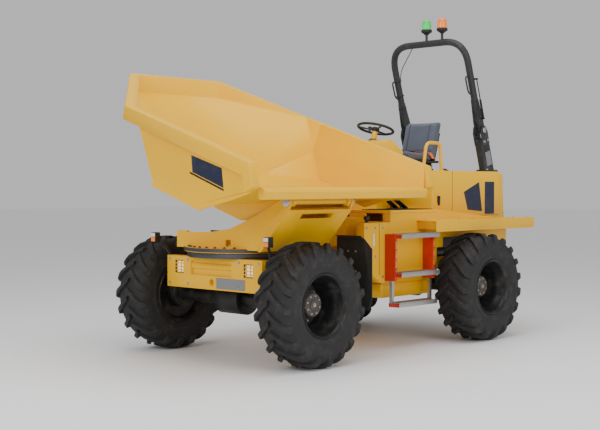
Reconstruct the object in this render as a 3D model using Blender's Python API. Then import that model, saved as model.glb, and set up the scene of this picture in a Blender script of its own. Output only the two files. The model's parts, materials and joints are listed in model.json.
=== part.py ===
"""Swivel-skip site dumper: articulated four-wheel chassis, slewing tipping skip, folding roll bar.

Metres, +Z up. The machine drives towards +X and its left side is +Y. Each moving assembly hangs
from an empty on its joint's axis, and the skip is modelled in the frame of its own tip pivot.
"""

from math import atan2, cos, hypot, pi, radians, sin, tan

import bmesh
import bpy
from mathutils import Matrix, Vector

# Driving dimensions
WHEELBASE = 2.544
TRACK = 1.87
TYRE_RADIUS = 0.545
TYRE_WIDTH = 0.385
RIM_RADIUS = 0.262
PIVOT_X = 0.15  # articulation pin, forward of the middle of the wheelbase
SLEW_X = 1.12  # centre of the slew ring
SWIVEL_REST = radians(90)  # the skip pours to the left
TIP_REST = radians(18.5)
SEAM = 0.0003  # gap between pieces that touch
RUN_GAP = 0.008  # gap between pieces that move past each other

# Shared heights
FRAME_BOTTOM = 0.70
FRAME_TOP = 0.925
RING_HEIGHT = 0.05
DECK_Z = 1.305
DECK_THICKNESS = 0.03
HOOD_TOP = 1.73
HOOD_FRONT = -0.87
HOOD_REAR = -2.23
HOOD_HALF = 0.62
BODY_HALF = 0.70
PLATE = 0.02

# Skip, measured from its tip pivot: +X towards the lip, +Y to its left
TIP_PIVOT_REACH = 0.899
TIP_PIVOT_Z = 1.438
SKIP_HALF = 1.18
SKIP_REAR_HALF = 0.575
SKIP_RIM_Z = 0.404
SKIP_REAR_RIM_Z = 0.538
SKIP_RIM_FRONT = 0.209
SKIP_RIM_BACK = -1.411
SKIP_REAR = -2.191
SKIP_FLOOR_Z = -0.141
SKIP_WALL = 0.014
RIM_WIDTH = 0.08
RIM_DEPTH = 0.12
LIP_X = 0.338
LIP_Z = 0.22
LIP_DEPTH = 0.09
LIP_HALF = 1.08

# Roll bar
ROPS_HALF = 0.50
ROPS_BASE_X = -2.06
ROPS_LEAN = radians(17.5)
ROPS_HINGE_Z = 2.18
ROPS_TOP_Z = 3.17
ROPS_TUBE = 0.037
ROPS_CORNER = 0.24

BEACON_Y = (0.0, 0.21)

# Pins and rams
PIN_RADIUS = 0.045  # articulation pin
OSCILLATION_Z = 0.67
STEER_BASE = (-0.45, 0.20, 0.0)
STEER_EYE = (0.25, 0.25, 0.0)
STEER_Z = 0.668
RAM_PIN = 0.4  # a ram's base pin, boss width and boss radius are shares of its barrel's radius
RAM_BOSS = 1.05
STEER_RADIUS = 0.03
TIP_RAM_RADIUS = 0.045
TIP_SHAFT = 0.028
RAM_HALF = TIP_RAM_RADIUS * RAM_BOSS
RAM_ACROSS = {"tip_ram": Vector((0, 1, 0)), "steering_ram": Vector((0, 0, 1))}
SLEW_BASE_Z = OSCILLATION_Z
WHEEL_SIDES = 32
RING_SIDES = 36
TIP_RAM_BASE = (0.52, 0.0, 1.085)  # in the swivel frame's own directions, from the slew centre
TIP_RAM_EYE = (-0.95, 0.0, -0.24)  # in the skip's frame
STEERING_HUB = (-0.74, 0.0, 2.17)
STEERING_DIR = Vector((-0.28, 0, 0.96)).normalized()

YELLOW = (0.93, 0.50, 0.005)
DARK_STEEL = (0.035, 0.035, 0.04)
BLACK = (0.012, 0.012, 0.013)
RUBBER = (0.016, 0.016, 0.018)
RED = (0.55, 0.03, 0.015)
CHARCOAL = (0.04, 0.042, 0.048)
SEAT_GREY = (0.07, 0.075, 0.10)
CHROME = (0.8, 0.8, 0.8)

for old in list(bpy.data.objects):
    bpy.data.objects.remove(old, do_unlink=True)


# Shape tools


def link(name, mesh):
    obj = bpy.data.objects.new(name, mesh)
    bpy.context.scene.collection.objects.link(obj)
    return obj


def from_bmesh(name, bm):
    bmesh.ops.recalc_face_normals(bm, faces=bm.faces)
    if bm.calc_volume(signed=True) < 0:
        bmesh.ops.reverse_faces(bm, faces=bm.faces)
    mesh = bpy.data.meshes.new(name)
    bm.to_mesh(mesh)
    bm.free()
    return link(name, mesh)


def prism(outline, axis, low, high):
    """A polygon extruded along an axis. Its points are the two other coordinates, in X, Y, Z order."""
    bm = bmesh.new()
    rest = [i for i in range(3) if i != axis]

    def corner(point, level):
        place = [0.0, 0.0, 0.0]
        place[rest[0]], place[rest[1]] = point
        place[axis] = level
        return bm.verts.new(place)

    base = [corner(point, low) for point in outline]
    top = [corner(point, high) for point in outline]
    bm.faces.new(base)
    bm.faces.new(top)
    for i in range(len(outline)):
        j = (i + 1) % len(outline)
        bm.faces.new((base[i], base[j], top[j], top[i]))
    return from_bmesh("shape", bm)


def block(low, high):
    outline = [(low[0], low[1]), (high[0], low[1]), (high[0], high[1]), (low[0], high[1])]
    return prism(outline, 2, low[2], high[2])


def rod(start, end, radius, sides=16, end_radius=None):
    """A round bar, or a cone, between two points."""
    start, end = Vector(start), Vector(end)
    bm = bmesh.new()
    bmesh.ops.create_cone(
        bm,
        cap_ends=True,
        segments=sides,
        radius1=radius,
        radius2=radius if end_radius is None else end_radius,
        depth=(end - start).length,
    )
    turn = Vector((0, 0, 1)).rotation_difference(end - start).to_matrix().to_4x4()
    bm.transform(Matrix.Translation((start + end) / 2) @ turn)
    return from_bmesh("shape", bm)


def ring(centre, outer, inner, axis, low, high, sides=32):
    """A flat ring about an axis."""
    bm = bmesh.new()
    rest = [i for i in range(3) if i != axis]
    loops = []
    for radius, level in ((outer, low), (outer, high), (inner, high), (inner, low)):
        loop = []
        for step in range(sides):
            angle = 2 * pi * step / sides
            place = [0.0, 0.0, 0.0]
            place[rest[0]] = centre[0] + radius * cos(angle)
            place[rest[1]] = centre[1] + radius * sin(angle)
            place[axis] = level
            loop.append(bm.verts.new(place))
        loops.append(loop)
    for k in range(4):
        for i in range(sides):
            j = (i + 1) % sides
            bm.faces.new((loops[k][i], loops[k][j], loops[(k + 1) % 4][j], loops[(k + 1) % 4][i]))
    return from_bmesh("shape", bm)


def turned(profile, y, sides=32, phase=0.0):
    """A closed profile of (radius, offset) turned about a line along Y."""
    bm = bmesh.new()
    loops = []
    for radius, offset in profile:
        loop = []
        for step in range(sides):
            angle = 2 * pi * (step + phase) / sides
            loop.append(bm.verts.new((radius * sin(angle), y + offset, radius * cos(angle))))
        loops.append(loop)
    for k in range(len(profile)):
        for i in range(sides):
            j = (i + 1) % sides
            after = loops[(k + 1) % len(profile)]
            bm.faces.new((loops[k][i], loops[k][j], after[j], after[i]))
    return from_bmesh("shape", bm)


def tube(points, radius, corner=0.0, sides=3):
    """A round tube along points, its inner corners bent to a radius."""
    points = [Vector(p) for p in points]
    path = [points[0]]
    for before, here, after in zip(points, points[1:], points[2:]):
        back, ahead = (before - here).normalized(), (after - here).normalized()
        half = back.angle(ahead) / 2
        reach = corner / tan(half)
        centre = here + (back + ahead).normalized() * (corner / sin(half))
        first, last = here + back * reach - centre, here + ahead * reach - centre
        first, last = first.normalized(), last.normalized()
        path += [centre + first.slerp(last, step / 5) * corner for step in range(6)]
    path.append(points[-1])
    curve = bpy.data.curves.new("tube", "CURVE")
    curve.dimensions = "3D"
    curve.bevel_depth = radius
    curve.bevel_resolution = sides
    curve.use_fill_caps = True
    spline = curve.splines.new("POLY")
    spline.points.add(len(path) - 1)
    for point, place in zip(spline.points, path):
        point.co = (*place, 1)
    holder = link("tube_path", curve)
    return baked(holder)


def baked(obj):
    """The object's evaluated mesh as a new plain object."""
    graph = bpy.context.evaluated_depsgraph_get()
    mesh = bpy.data.meshes.new_from_object(obj.evaluated_get(graph))
    result = link("shape", mesh)
    result.matrix_world = obj.matrix_world.copy()
    bpy.data.objects.remove(obj, do_unlink=True)
    bm = bmesh.new()
    bm.from_mesh(mesh)
    bmesh.ops.remove_doubles(bm, verts=bm.verts, dist=1e-6)
    bm.to_mesh(mesh)
    bm.free()
    return result


def combined(first, others, operation):
    for other in others:
        cut = first.modifiers.new(operation.lower(), "BOOLEAN")
        cut.operation = operation
        cut.solver = "EXACT"
        cut.object = other
    bpy.context.view_layer.update()
    result = baked(first)
    for other in others:
        bpy.data.objects.remove(other, do_unlink=True)
    return result


def union(*shapes):
    return combined(shapes[0], shapes[1:], "UNION")


def cut(shape, *cutters):
    return combined(shape, cutters, "DIFFERENCE")


def mirrored(shape):
    """The shape moved to the other side of the XZ plane."""
    bm = bmesh.new()
    bm.from_mesh(shape.data)
    bm.transform(Matrix.Diagonal((1, -1, 1, 1)))
    bmesh.ops.reverse_faces(bm, faces=bm.faces)
    bm.to_mesh(shape.data)
    bm.free()
    return shape


def node(name, shape, color, holder, origin=(0, 0, 0), roughness=0.4, metallic=0.0, smooth=True):
    """Names a finished shape, gives it its material and hangs it from its holder at origin."""
    shape.name = name
    shape.data.name = name
    shape.data.transform(Matrix.Translation(-Vector(origin)))
    if smooth:
        shape.data.shade_smooth()
        shape.data.set_sharp_from_angle(angle=radians(35))
    material = bpy.data.materials.new(name)
    material.use_nodes = True
    shader = material.node_tree.nodes["Principled BSDF"]
    shader.inputs["Base Color"].default_value = (*color, 1)
    shader.inputs["Roughness"].default_value = roughness
    shader.inputs["Metallic"].default_value = metallic
    shape.data.materials.clear()
    shape.data.materials.append(material)
    shape.parent = holder
    return shape


def axis_empty(name, place, parent=None, turn=None):
    """An empty on a joint's axis, placed in its parent's frame."""
    empty = bpy.data.objects.new(name, None)
    bpy.context.scene.collection.objects.link(empty)
    empty.parent = parent
    empty.matrix_local = Matrix.Translation(place) @ (turn or Matrix.Identity(4))
    bpy.context.view_layer.update()
    return empty


# Rear chassis: the frame that carries the engine, the driver and the roll bar


def rear_frame(holder):
    rail_out, rail_in = 0.36, 0.28
    rail_front, rail_rear = -0.02, HOOD_REAR + 0.03
    rails = [
        block((rail_rear, side * rail_in if side > 0 else -rail_out, FRAME_BOTTOM),
              (rail_front, rail_out if side > 0 else -rail_in, FRAME_BOTTOM + 0.12))
        for side in (1, -1)
    ]
    nose = block((-0.16, -rail_out, 0.50), (rail_front, rail_out, 0.90))
    tail = block((rail_rear, -0.60, 0.62), (rail_rear + 0.10, 0.60, 1.10))
    belly = block((-0.80, -0.66, 0.49), (-0.02, 0.66, 0.62))
    ledges = [block((-0.78, min(side * 0.50, side * 0.65), 0.60),
                    (-0.04, max(side * 0.50, side * 0.65), 0.64 - SEAM))
              for side in (1, -1)]
    ears = [block((-0.10, -0.12, low), (PIVOT_X + 0.11, 0.12, low + 0.05)) for low in (0.505, 0.825)]
    frame = union(nose, tail, belly, *ledges, *rails, *ears)
    hole = rod((PIVOT_X, 0, 0.4), (PIVOT_X, 0, 1.0), PIN_RADIUS + 0.0009, 24)
    # The steering ram's barrel is pinned to a lug on the left rail
    lug_low = STEER_Z + STEER_RADIUS * RAM_BOSS + 0.001
    lug = block((STEER_BASE[0] - 0.05, STEER_BASE[1] - 0.05, lug_low),
                (STEER_BASE[0] + 0.05, rail_in + 0.03, 0.725))
    pin = rod((*STEER_BASE[:2], STEER_Z - 0.04), (*STEER_BASE[:2], 0.72), STEER_RADIUS * RAM_PIN, 16)
    way = block((-0.2, STEER_BASE[1] - 0.07, STEER_Z - 0.05), (0.0, STEER_BASE[1] + 0.10, STEER_Z + 0.05))
    shape = union(cut(frame, way, hole), lug, pin)
    return node("rear_frame", shape, DARK_STEEL, holder, roughness=0.6)


def tanks(holder):
    """The fuel and hydraulic tanks, which make the lower sides between the axles."""
    low, front, step_x = 0.64, 0.275, -0.12
    inner = 0.45
    side = [(HOOD_FRONT, low), (0.02, low), (front, 0.80), (front, DECK_Z - 0.08),
            (step_x, DECK_Z - 0.08),
            (step_x, DECK_Z), (HOOD_FRONT, DECK_Z)]
    for name, mirror in (("tank_left", False), ("tank_right", True)):
        skin = prism(side, 1, inner + 0.15, BODY_HALF)
        core = block((HOOD_FRONT, inner, low), (0.02, inner + 0.16, DECK_Z - 0.08))
        shape = union(skin, core)
        node(name, mirrored(shape) if mirror else shape, YELLOW, holder)


def rear_body(holder):
    """Deck plates, the wheel-house sides and the folded engine hood."""
    deck_bottom = DECK_Z + SEAM
    top = deck_bottom + DECK_THICKNESS
    floor = block((HOOD_FRONT, -BODY_HALF, deck_bottom), (-0.12, BODY_HALF, top))
    node("floor_plate", floor, YELLOW, holder)

    house_low = 0.95
    house = [(HOOD_FRONT - SEAM, house_low), (HOOD_FRONT - SEAM, 1.335), (-1.75, 1.25),
             (HOOD_REAR + 0.09, 1.235),
             (HOOD_REAR + 0.09, house_low)]
    outer = prism(house, 1, -BODY_HALF, BODY_HALF)
    room = block((HOOD_REAR, -BODY_HALF + PLATE, 0.5), (HOOD_FRONT - PLATE, BODY_HALF - PLATE, 1.20))
    engine_hole = block((HOOD_REAR - 0.1, -HOOD_HALF + 0.05, 1.0),
                        (HOOD_FRONT - 0.06, HOOD_HALF - 0.05, 1.5))
    axle_gap = block((-1.272 - 0.3, -1, 0.5), (-1.272 + 0.3, 1, house_low + 0.10))
    node("rear_wheelhouse", cut(outer, room, engine_hole, axle_gap), YELLOW, holder)

    # The hood stands on the sloping wheel-house top, open below and behind
    hood_outline = [(HOOD_FRONT - PLATE, 1.336 + SEAM), (HOOD_FRONT - PLATE, HOOD_TOP),
                    (HOOD_REAR + 0.12, HOOD_TOP),
                    (HOOD_REAR + 0.085, 1.236), (-1.75, 1.25 + SEAM)]
    hood = prism(hood_outline, 1, -HOOD_HALF, HOOD_HALF)
    inside = block((HOOD_REAR - 0.1, -HOOD_HALF + PLATE, 1.0),
                   (HOOD_FRONT - 2 * PLATE, HOOD_HALF - PLATE, HOOD_TOP - PLATE))
    node("engine_hood", cut(hood, inside), YELLOW, holder)

    engine = block((-2.05, -0.30, FRAME_BOTTOM + 0.13), (-1.30, 0.30, 1.50))
    foot = block((-2.00, -0.34, FRAME_BOTTOM + 0.12 + SEAM), (-1.35, 0.34, FRAME_BOTTOM + 0.20))
    node("engine_block", union(engine, foot), DARK_STEEL, holder, roughness=0.6)

    valve = block((-0.10, -0.40, 0.99), (0.20, 0.40, DECK_Z - 0.045))
    stem = block((-0.10, -0.30, 0.90 + SEAM), (-0.03, 0.30, 1.0))
    back = block((-0.12 + SEAM, -0.40, 1.05), (-0.09, 0.40, DECK_Z - SEAM))
    node("valve_cover", union(valve, stem, back), YELLOW, holder)


def rear_door(holder):
    """The grille door at the back, hinged at its left edge."""
    hinge = (HOOD_REAR + 0.012, HOOD_HALF - 0.008)
    empty = axis_empty("rear_door_axis", (*hinge, 1.45), holder)
    face_low, face_high = 1.115, HOOD_TOP - 0.02
    lean = 0.035
    outline = [(HOOD_REAR + 0.078, face_low), (HOOD_REAR + 0.108, face_high),
               (HOOD_REAR + 0.078 + lean - 0.08, face_high), (HOOD_REAR - 0.0, face_low)]
    panel = prism(outline, 1, -HOOD_HALF + 0.01, HOOD_HALF - 0.01)
    slots = [block((HOOD_REAR - 0.2, -0.45, z), (HOOD_REAR + 0.055, 0.45, z + 0.035)) for z in
             (1.20 + 0.075 * i for i in range(6))]
    node("rear_door", cut(panel, *slots), YELLOW, empty, origin=(*hinge, 1.45))
    return empty


def fenders(holder):
    front, rear, thick, skirt = -0.53, -2.30, 0.012, 0.11
    inner, outer, high = BODY_HALF + SEAM, 0.95, 1.235
    low = high - skirt
    plate = [(inner, high - thick), (outer - thick, high - thick), (outer - thick, low), (outer, low),
             (outer, high), (inner, high)]
    for name, mirror in (("fender_left", False), ("fender_right", True)):
        cover = prism(plate, 0, rear, front)
        bracket = [block((x, inner + 0.001, low + 0.02), (x + thick, outer - thick / 2, high - thick / 2))
                   for x in (front - 2 * thick, -1.0, -1.7, rear + thick)]
        shape = union(cover, *bracket)
        node(name, mirrored(shape) if mirror else shape, YELLOW, holder)


def driver_place(holder):
    deck = DECK_Z + DECK_THICKNESS + 2 * SEAM
    outline = [(-0.42, deck), (-0.56, 2.02), (-0.66, 2.05), (-0.86, 1.93), (-0.84, 1.84), (-0.70, 1.72),
               (-0.60, deck)]
    column_head = Vector(STEERING_HUB) - STEERING_DIR * 0.0305
    column = rod(column_head - STEERING_DIR * 0.19, column_head, 0.028)
    boot = rod(column_head - STEERING_DIR * 0.17, column_head - STEERING_DIR * 0.09, 0.075,
               end_radius=0.045)
    node("console", union(prism(outline, 1, -0.27, 0.27), column, boot), YELLOW, holder)

    wheel_axis = axis_empty("steering_wheel_axis", STEERING_HUB, holder,
                            Vector((0, 0, 1)).rotation_difference(STEERING_DIR).to_matrix().to_4x4())
    torus = bpy.ops.mesh.primitive_torus_add
    torus(major_segments=32, minor_segments=8, major_radius=0.185, minor_radius=0.014)
    rim = bpy.context.object
    hub = rod((0, 0, -0.03), (0, 0, 0.005), 0.04)
    spokes = [rod((0.02 * cos(a), 0.02 * sin(a), -0.012), (0.185 * cos(a), 0.185 * sin(a), 0), 0.012, 8)
              for a in (radians(90), radians(210), radians(330))]
    node("steering_wheel", union(rim, hub, *spokes), BLACK, wheel_axis)

    seat_z = HOOD_TOP + SEAM
    base = block((-1.52, -0.17, seat_z), (-1.08, 0.17, seat_z + 0.03))
    bellows = block((-1.50, -0.16, seat_z + 0.02), (-1.12, 0.16, seat_z + 0.10))
    pan = block((-1.55, -0.22, seat_z + 0.09), (-1.02, 0.22, seat_z + 0.115))
    back_plate = prism([(-1.53, seat_z + 0.10), (-1.56, seat_z + 0.10), (-1.66, seat_z + 0.42),
                        (-1.63, seat_z + 0.42)], 1, -0.16, 0.16)
    node("seat_base", union(base, bellows, pan, back_plate), BLACK, holder)
    cushion_z = seat_z + 0.115 + 2 * SEAM
    cushion = [(-1.44, cushion_z), (-1.00, cushion_z), (-0.98, cushion_z + 0.05),
               (-1.00, cushion_z + 0.10),
               (-1.44, cushion_z + 0.075)]
    node("seat_cushion", prism(cushion, 1, -0.24, 0.24), SEAT_GREY, holder)
    back = [(-1.455, cushion_z + 0.01), (-1.53, cushion_z + 0.01), (-1.645, cushion_z + 0.42),
            (-1.57, cushion_z + 0.44), (-1.52, cushion_z + 0.40)]
    back_shape = prism([(x + 0.0145, z) for x, z in back], 1, -0.23, 0.23)
    node("seat_back", back_shape, SEAT_GREY, holder)

    rail_foot = seat_z + 0.0032
    for name, side in (("handrail_left", 1), ("handrail_right", -1)):
        y = side * 0.50
        loop = tube([(-0.90, y, rail_foot), (-0.955, y, 2.02), (-1.19, y, 2.02), (-1.215, y, rail_foot)],
                    0.017, corner=0.06)
        node(name, loop, YELLOW, holder)


def ladder(holder):
    """Side steps: a red bracket on the tank, two treads, and a third tread hung below."""
    front, rear, near, far = -0.03, -0.66, BODY_HALF + SEAM, 0.90
    bar = 0.03
    for name, mirror in (("step_left", False), ("step_right", True)):
        parts = []
        for x in (front - bar, rear):
            parts.append(block((x, near, 0.66), (x + bar, far - 0.07, 1.11)))
            parts.append(block((x, far - 0.14, 0.41), (x + bar, far - 0.11, 0.70)))
        for level in (1.07, 0.70):
            parts.append(block((rear + 0.01, far - 0.13, level), (front - 0.01, far, level + 0.035)))
        parts.append(block((rear + 0.01, far - 0.16, 0.41), (front - 0.01, far - 0.03, 0.445)))
        shape = union(*parts)
        node(name, mirrored(shape) if mirror else shape, RED, holder)


def rops_point(z, y=0.0):
    """A point on the roll bar's leaning centre plane."""
    return Vector((ROPS_BASE_X + (z - HOOD_TOP) * tan(ROPS_LEAN), y, z))


def rops(holder):
    along = Vector((sin(ROPS_LEAN), 0, cos(ROPS_LEAN)))
    across = Vector((along.z, 0, -along.x))
    hinge = rops_point(ROPS_HINGE_Z)
    shaft, cheek, gap = 0.022, 0.016, RUN_GAP
    tang = 0.035  # half the width of the hoop's foot in its clevis
    for name, side in (("rops_post_left", 1), ("rops_post_right", -1)):
        y = side * ROPS_HALF
        base = rops_point(HOOD_TOP, y)
        top = hinge - along * 0.10
        post = prism([(-0.065, -0.05), (0.065, -0.05), (0.065, 0.05), (-0.065, 0.05)], 2, -0.05,
                     (top - rops_point(HOOD_TOP)).length)
        post.data.transform(Matrix.Translation(base) @ Matrix.Rotation(ROPS_LEAN, 4, "Y"))
        foot = block((base.x - 0.10, y - 0.075, HOOD_TOP + SEAM),
                     (base.x + 0.10, y + 0.075, HOOD_TOP + 0.018))
        below = block((base.x - 0.5, y - 0.3, HOOD_TOP - 0.3), (base.x + 0.5, y + 0.3, HOOD_TOP + SEAM))
        ears = []
        for inner in (y + tang + gap, y - tang - gap - cheek):
            outline = [hinge + along * 0.045 + across * 0.03, hinge + along * 0.045 - across * 0.03,
                       hinge - across * 0.06 - along * 0.02, hinge - along * 0.16 - across * 0.06,
                       hinge - along * 0.16 + across * 0.06, hinge + across * 0.06 - along * 0.02]
            ears.append(prism([(p.x, p.z) for p in outline], 1, inner, inner + cheek))
        pin = rod(hinge + Vector((0, y - tang - gap - cheek, 0)),
                  hinge + Vector((0, y + tang + gap + cheek, 0)),
                  shaft, 20)
        shape = union(cut(union(post, foot), below), *ears, pin)
        node(name, shape, CHARCOAL, holder)

    empty = axis_empty("rops_fold_axis", hinge, holder)
    top_point = rops_point(ROPS_TOP_Z - ROPS_TUBE)
    legs = tube([rops_point(ROPS_HINGE_Z + 0.09, ROPS_HALF),
                 Vector((top_point.x, ROPS_HALF, top_point.z)),
                 Vector((top_point.x, -ROPS_HALF, top_point.z)),
                 rops_point(ROPS_HINGE_Z + 0.09, -ROPS_HALF)], ROPS_TUBE, corner=ROPS_CORNER)
    feet = []
    for side in (1, -1):
        y = side * ROPS_HALF
        centre = hinge + Vector((0, y, 0))
        outline = [centre + along * 0.35 + across * 0.02, centre + along * 0.35 - across * 0.02,
                   centre + along * 0.10 - across * 0.05, centre - across * 0.045 - along * 0.02,
                   centre - across * 0.015 - along * 0.055, centre + across * 0.015 - along * 0.055,
                   centre + across * 0.045 - along * 0.02, centre + along * 0.10 + across * 0.05]
        foot = prism([(p.x, p.z) for p in outline], 1, y - tang, y + tang)
        feet.append(cut(foot, rod(centre - Vector((0, 0.1, 0)), centre + Vector((0, 0.1, 0)),
                                  shaft + 0.001, 20)))
        grip_low, grip_high = rops_point(2.55, y), rops_point(2.75, y)
        feet.append(tube([grip_low, grip_low + Vector((0.10, 0, 0.02)),
                          grip_high + Vector((0.10, 0, 0.0)),
                          grip_high], 0.009, corner=0.035, sides=2))
    joined = union(legs, *feet)
    stems = [rod((top_point.x, y, top_point.z + 0.02), (top_point.x, y, top_point.z + 0.10), 0.014, 12)
             for y in BEACON_Y]
    node("rops_hoop", union(joined, *stems), CHARCOAL, empty, origin=hinge)
    for name, y, color in zip(("beacon_green", "beacon_amber"), BEACON_Y,
                              ((0.02, 0.55, 0.08), (0.9, 0.25, 0.01))):
        low = Vector((top_point.x, y, top_point.z + 0.10 + SEAM))
        shape = union(rod(low, low + Vector((0, 0, 0.03)), 0.02, 16, end_radius=0.058),
                      rod(low + Vector((0, 0, 0.029)), low + Vector((0, 0, 0.06)), 0.06, 16),
                      rod(low + Vector((0, 0, 0.059)), low + Vector((0, 0, 0.135)), 0.058, 16,
                          end_radius=0.05),
                      rod(low + Vector((0, 0, 0.134)), low + Vector((0, 0, 0.165)), 0.05, 16,
                          end_radius=0.022))
        node(name, shape, color, empty, origin=hinge, roughness=0.2)
    return empty


# Front chassis: the yoke between the halves, the front frame and the slew ring


def ram(name, base, eye, base_holder, radius, rod_radius, closed):
    """A ram from its base pin to its rod's eye, both in the holder's frame. Barrel and rod slide in line."""
    base, eye = Vector(base), Vector(eye)
    line = eye - base
    turn = Vector((1, 0, 0)).rotation_difference(line).to_matrix().to_4x4()
    barrel_axis = axis_empty(name + "_barrel_axis", base, base_holder, turn)
    rod_axis = axis_empty(name + "_rod_axis", (0, 0, 0), barrel_axis)
    side = (turn.to_3x3().transposed() @ RAM_ACROSS[name]).normalized()
    length = line.length
    half = radius * RAM_BOSS
    barrel = union(rod((radius * 0.4, 0, 0), (closed, 0, 0), radius, 20),
                   rod(side * -half, side * half, radius * 0.85, 20))
    bore = rod((0.06, 0, 0), (closed + 0.1, 0, 0), rod_radius + 0.001, 16)
    pin_hole = rod(side * -0.2, side * 0.2, radius * RAM_PIN + 0.001, 16)
    node(name + "_barrel", cut(barrel, bore, pin_hole), BLACK, barrel_axis, roughness=0.35)
    eye_point = Vector((length, 0, 0))
    shaft = union(rod((closed - 0.12, 0, 0), eye_point, rod_radius, 16),
                  rod(eye_point - side * half * 0.8, eye_point + side * half * 0.8, rod_radius * 1.5, 16))
    node(name + "_rod", shaft, CHROME, rod_axis, roughness=0.15, metallic=1.0)


def yoke(holder):
    """The centre yoke turns on the articulation pin and carries the front half's oscillation shaft."""
    at = (PIVOT_X, 0.0)
    pin = rod((*at, 0.49), (*at, 0.89), PIN_RADIUS, 24)
    barrel = rod((*at, 0.563), (*at, 0.817), 0.10, 24)
    shaft = rod((PIVOT_X, 0, OSCILLATION_Z), (0.52, 0, OSCILLATION_Z), 0.07, 24)
    flange = rod((0.34, 0, OSCILLATION_Z), (0.382, 0, OSCILLATION_Z), 0.10, 24)
    arm_low, arm_high = STEER_Z - 0.055, STEER_Z - 0.034
    arm = prism([(PIVOT_X - 0.05, 0), (PIVOT_X + 0.06, 0), (STEER_EYE[0] + 0.035, STEER_EYE[1] - 0.03),
                 (STEER_EYE[0] + 0.03, STEER_EYE[1] + 0.03), (STEER_EYE[0] - 0.03,
                                                              STEER_EYE[1] + 0.03)], 2,
                arm_low, arm_high)
    shape = union(barrel, pin, shaft, flange, arm)
    node("centre_yoke", shape, DARK_STEEL, holder, origin=(PIVOT_X, 0, OSCILLATION_Z), roughness=0.6)


def front_frame(holder):
    origin = (PIVOT_X, 0, OSCILLATION_Z)
    back, front, half = 0.40, 1.46, 0.34
    rails = [block((back, side * half if side < 0 else half - 0.06, FRAME_BOTTOM),
                   (front, -half + 0.06 if side < 0 else half, FRAME_TOP - 0.02)) for side in (1, -1)]
    rear_wall = block((back, -half, 0.58), (back + 0.10, half, FRAME_TOP - 0.02))
    front_wall = block((front - 0.04, -half, 0.66), (front, half, FRAME_TOP - 0.02))
    top = block((0.66, -0.42, FRAME_TOP - 0.025), (front, 0.42, FRAME_TOP))
    top_tail = block((0.55, -half, FRAME_TOP - 0.025), (0.67, half, FRAME_TOP))
    saddles = [block((WHEELBASE / 2 - 0.10, min(side * 0.25, side * half), 0.64),
                     (WHEELBASE / 2 + 0.10, max(side * 0.25, side * half),
                      FRAME_BOTTOM + 0.02)) for side in (1, -1)]
    housing = rod((back - 0.005, 0, OSCILLATION_Z), (back + 0.13, 0, OSCILLATION_Z), 0.12, 24)
    bore = rod((back - 0.1, 0, OSCILLATION_Z), (back + 0.3, 0, OSCILLATION_Z), 0.0709, 24)
    shape = cut(union(rear_wall, *rails, front_wall, top, top_tail, *saddles, housing), bore)
    node("front_frame", shape, YELLOW, holder, origin=origin)

    # Front plate with its sunken middle, lamp windows and the tow pin hole
    low, wide, face = 0.634, 0.63, 1.56
    plate = block((front + SEAM, -wide, low), (face, wide, FRAME_TOP))
    recess = block((face - 0.03, -0.30, 0.76), (face + 0.1, 0.24, FRAME_TOP - 0.035))
    bar = rod((face - 0.045, -0.305, 0.84), (face - 0.045, 0.245, 0.84), 0.035, 16)
    hole = rod((face - 0.06, -0.02, 0.70), (face + 0.1, -0.02, 0.70), 0.03, 16)
    lamps = [block((face - 0.05, y - 0.06, 0.765), (face + 0.1, y + 0.06, 0.885)) for y in (-0.46, 0.46)]
    inside = block((front - 0.1, -wide + 0.012, low - 0.1),
                   (face - 0.06, wide - 0.012, FRAME_TOP - 0.012))
    keep = block((front + SEAM, -0.30, low + 0.03), (face - 0.05, 0.30, FRAME_TOP - 0.01))
    shape = union(cut(plate, inside, recess, hole, *lamps), keep, bar)
    node("front_bumper", shape, YELLOW, holder, origin=origin)

    for name, side in (("marker_lamp_left", 1), ("marker_lamp_right", -1)):
        y = side * (wide + SEAM)
        foot = block((1.47, min(y, y + side * 0.03), 0.74), (1.50, max(y, y + side * 0.03), 0.90))
        stalk = tube([(1.485, y + side * 0.015, 0.88), (1.52, y + side * 0.06, 0.98),
                      (1.60, y + side * 0.115, 1.05)],
                     0.013, corner=0.04)
        lamp = block((1.575, side * 0.75 - 0.032, 1.045), (1.63, side * 0.75 + 0.032, 1.135))
        node(name, union(foot, stalk, lamp), BLACK, holder, origin=origin)

    for name, mirror in (("mudflap_left", False), ("mudflap_right", True)):
        x, inner, outer = 0.635, 0.68, 1.10
        flap = prism([(inner, 0.46), (outer - 0.04, 0.46), (outer, 0.56), (outer, 1.01),
                      (outer - 0.10, 1.10),
                      (inner, 1.10)], 0, x, x + 0.008)
        hood = prism([(x, 1.08), (x + 0.008, 1.08), (x + 0.05, 1.118), (x + 0.045, 1.125), (x, 1.10)], 1,
                     inner + 0.03, outer - 0.10)
        arm = block((0.67, half + SEAM, 0.86), (0.71, inner + 0.03, 0.89))
        reach = block((x + 0.002, inner + 0.005, 0.86), (0.71, inner + 0.03, 0.89))
        foot = block((0.64, half + SEAM, 0.80), (0.74, half + 0.012, 0.895))
        shape = union(flap, hood, arm, reach, foot)
        node(name, mirrored(shape) if mirror else shape, BLACK, holder, origin=origin, roughness=0.6)


def slew_ring(holder):
    origin = (PIVOT_X, 0, OSCILLATION_Z)
    low = FRAME_TOP + SEAM
    outer = ring((SLEW_X, 0), 0.56, 0.40, 2, low, low + RING_HEIGHT, RING_SIDES)
    clear = [block((0.69, side * 0.58 - 0.25, low - 0.01), (0.79, side * 0.58 + 0.25, low + 0.02))
             for side in (1, -1)]
    node("slew_ring", cut(outer, *clear), DARK_STEEL, holder, origin=origin, metallic=0.6)


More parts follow.
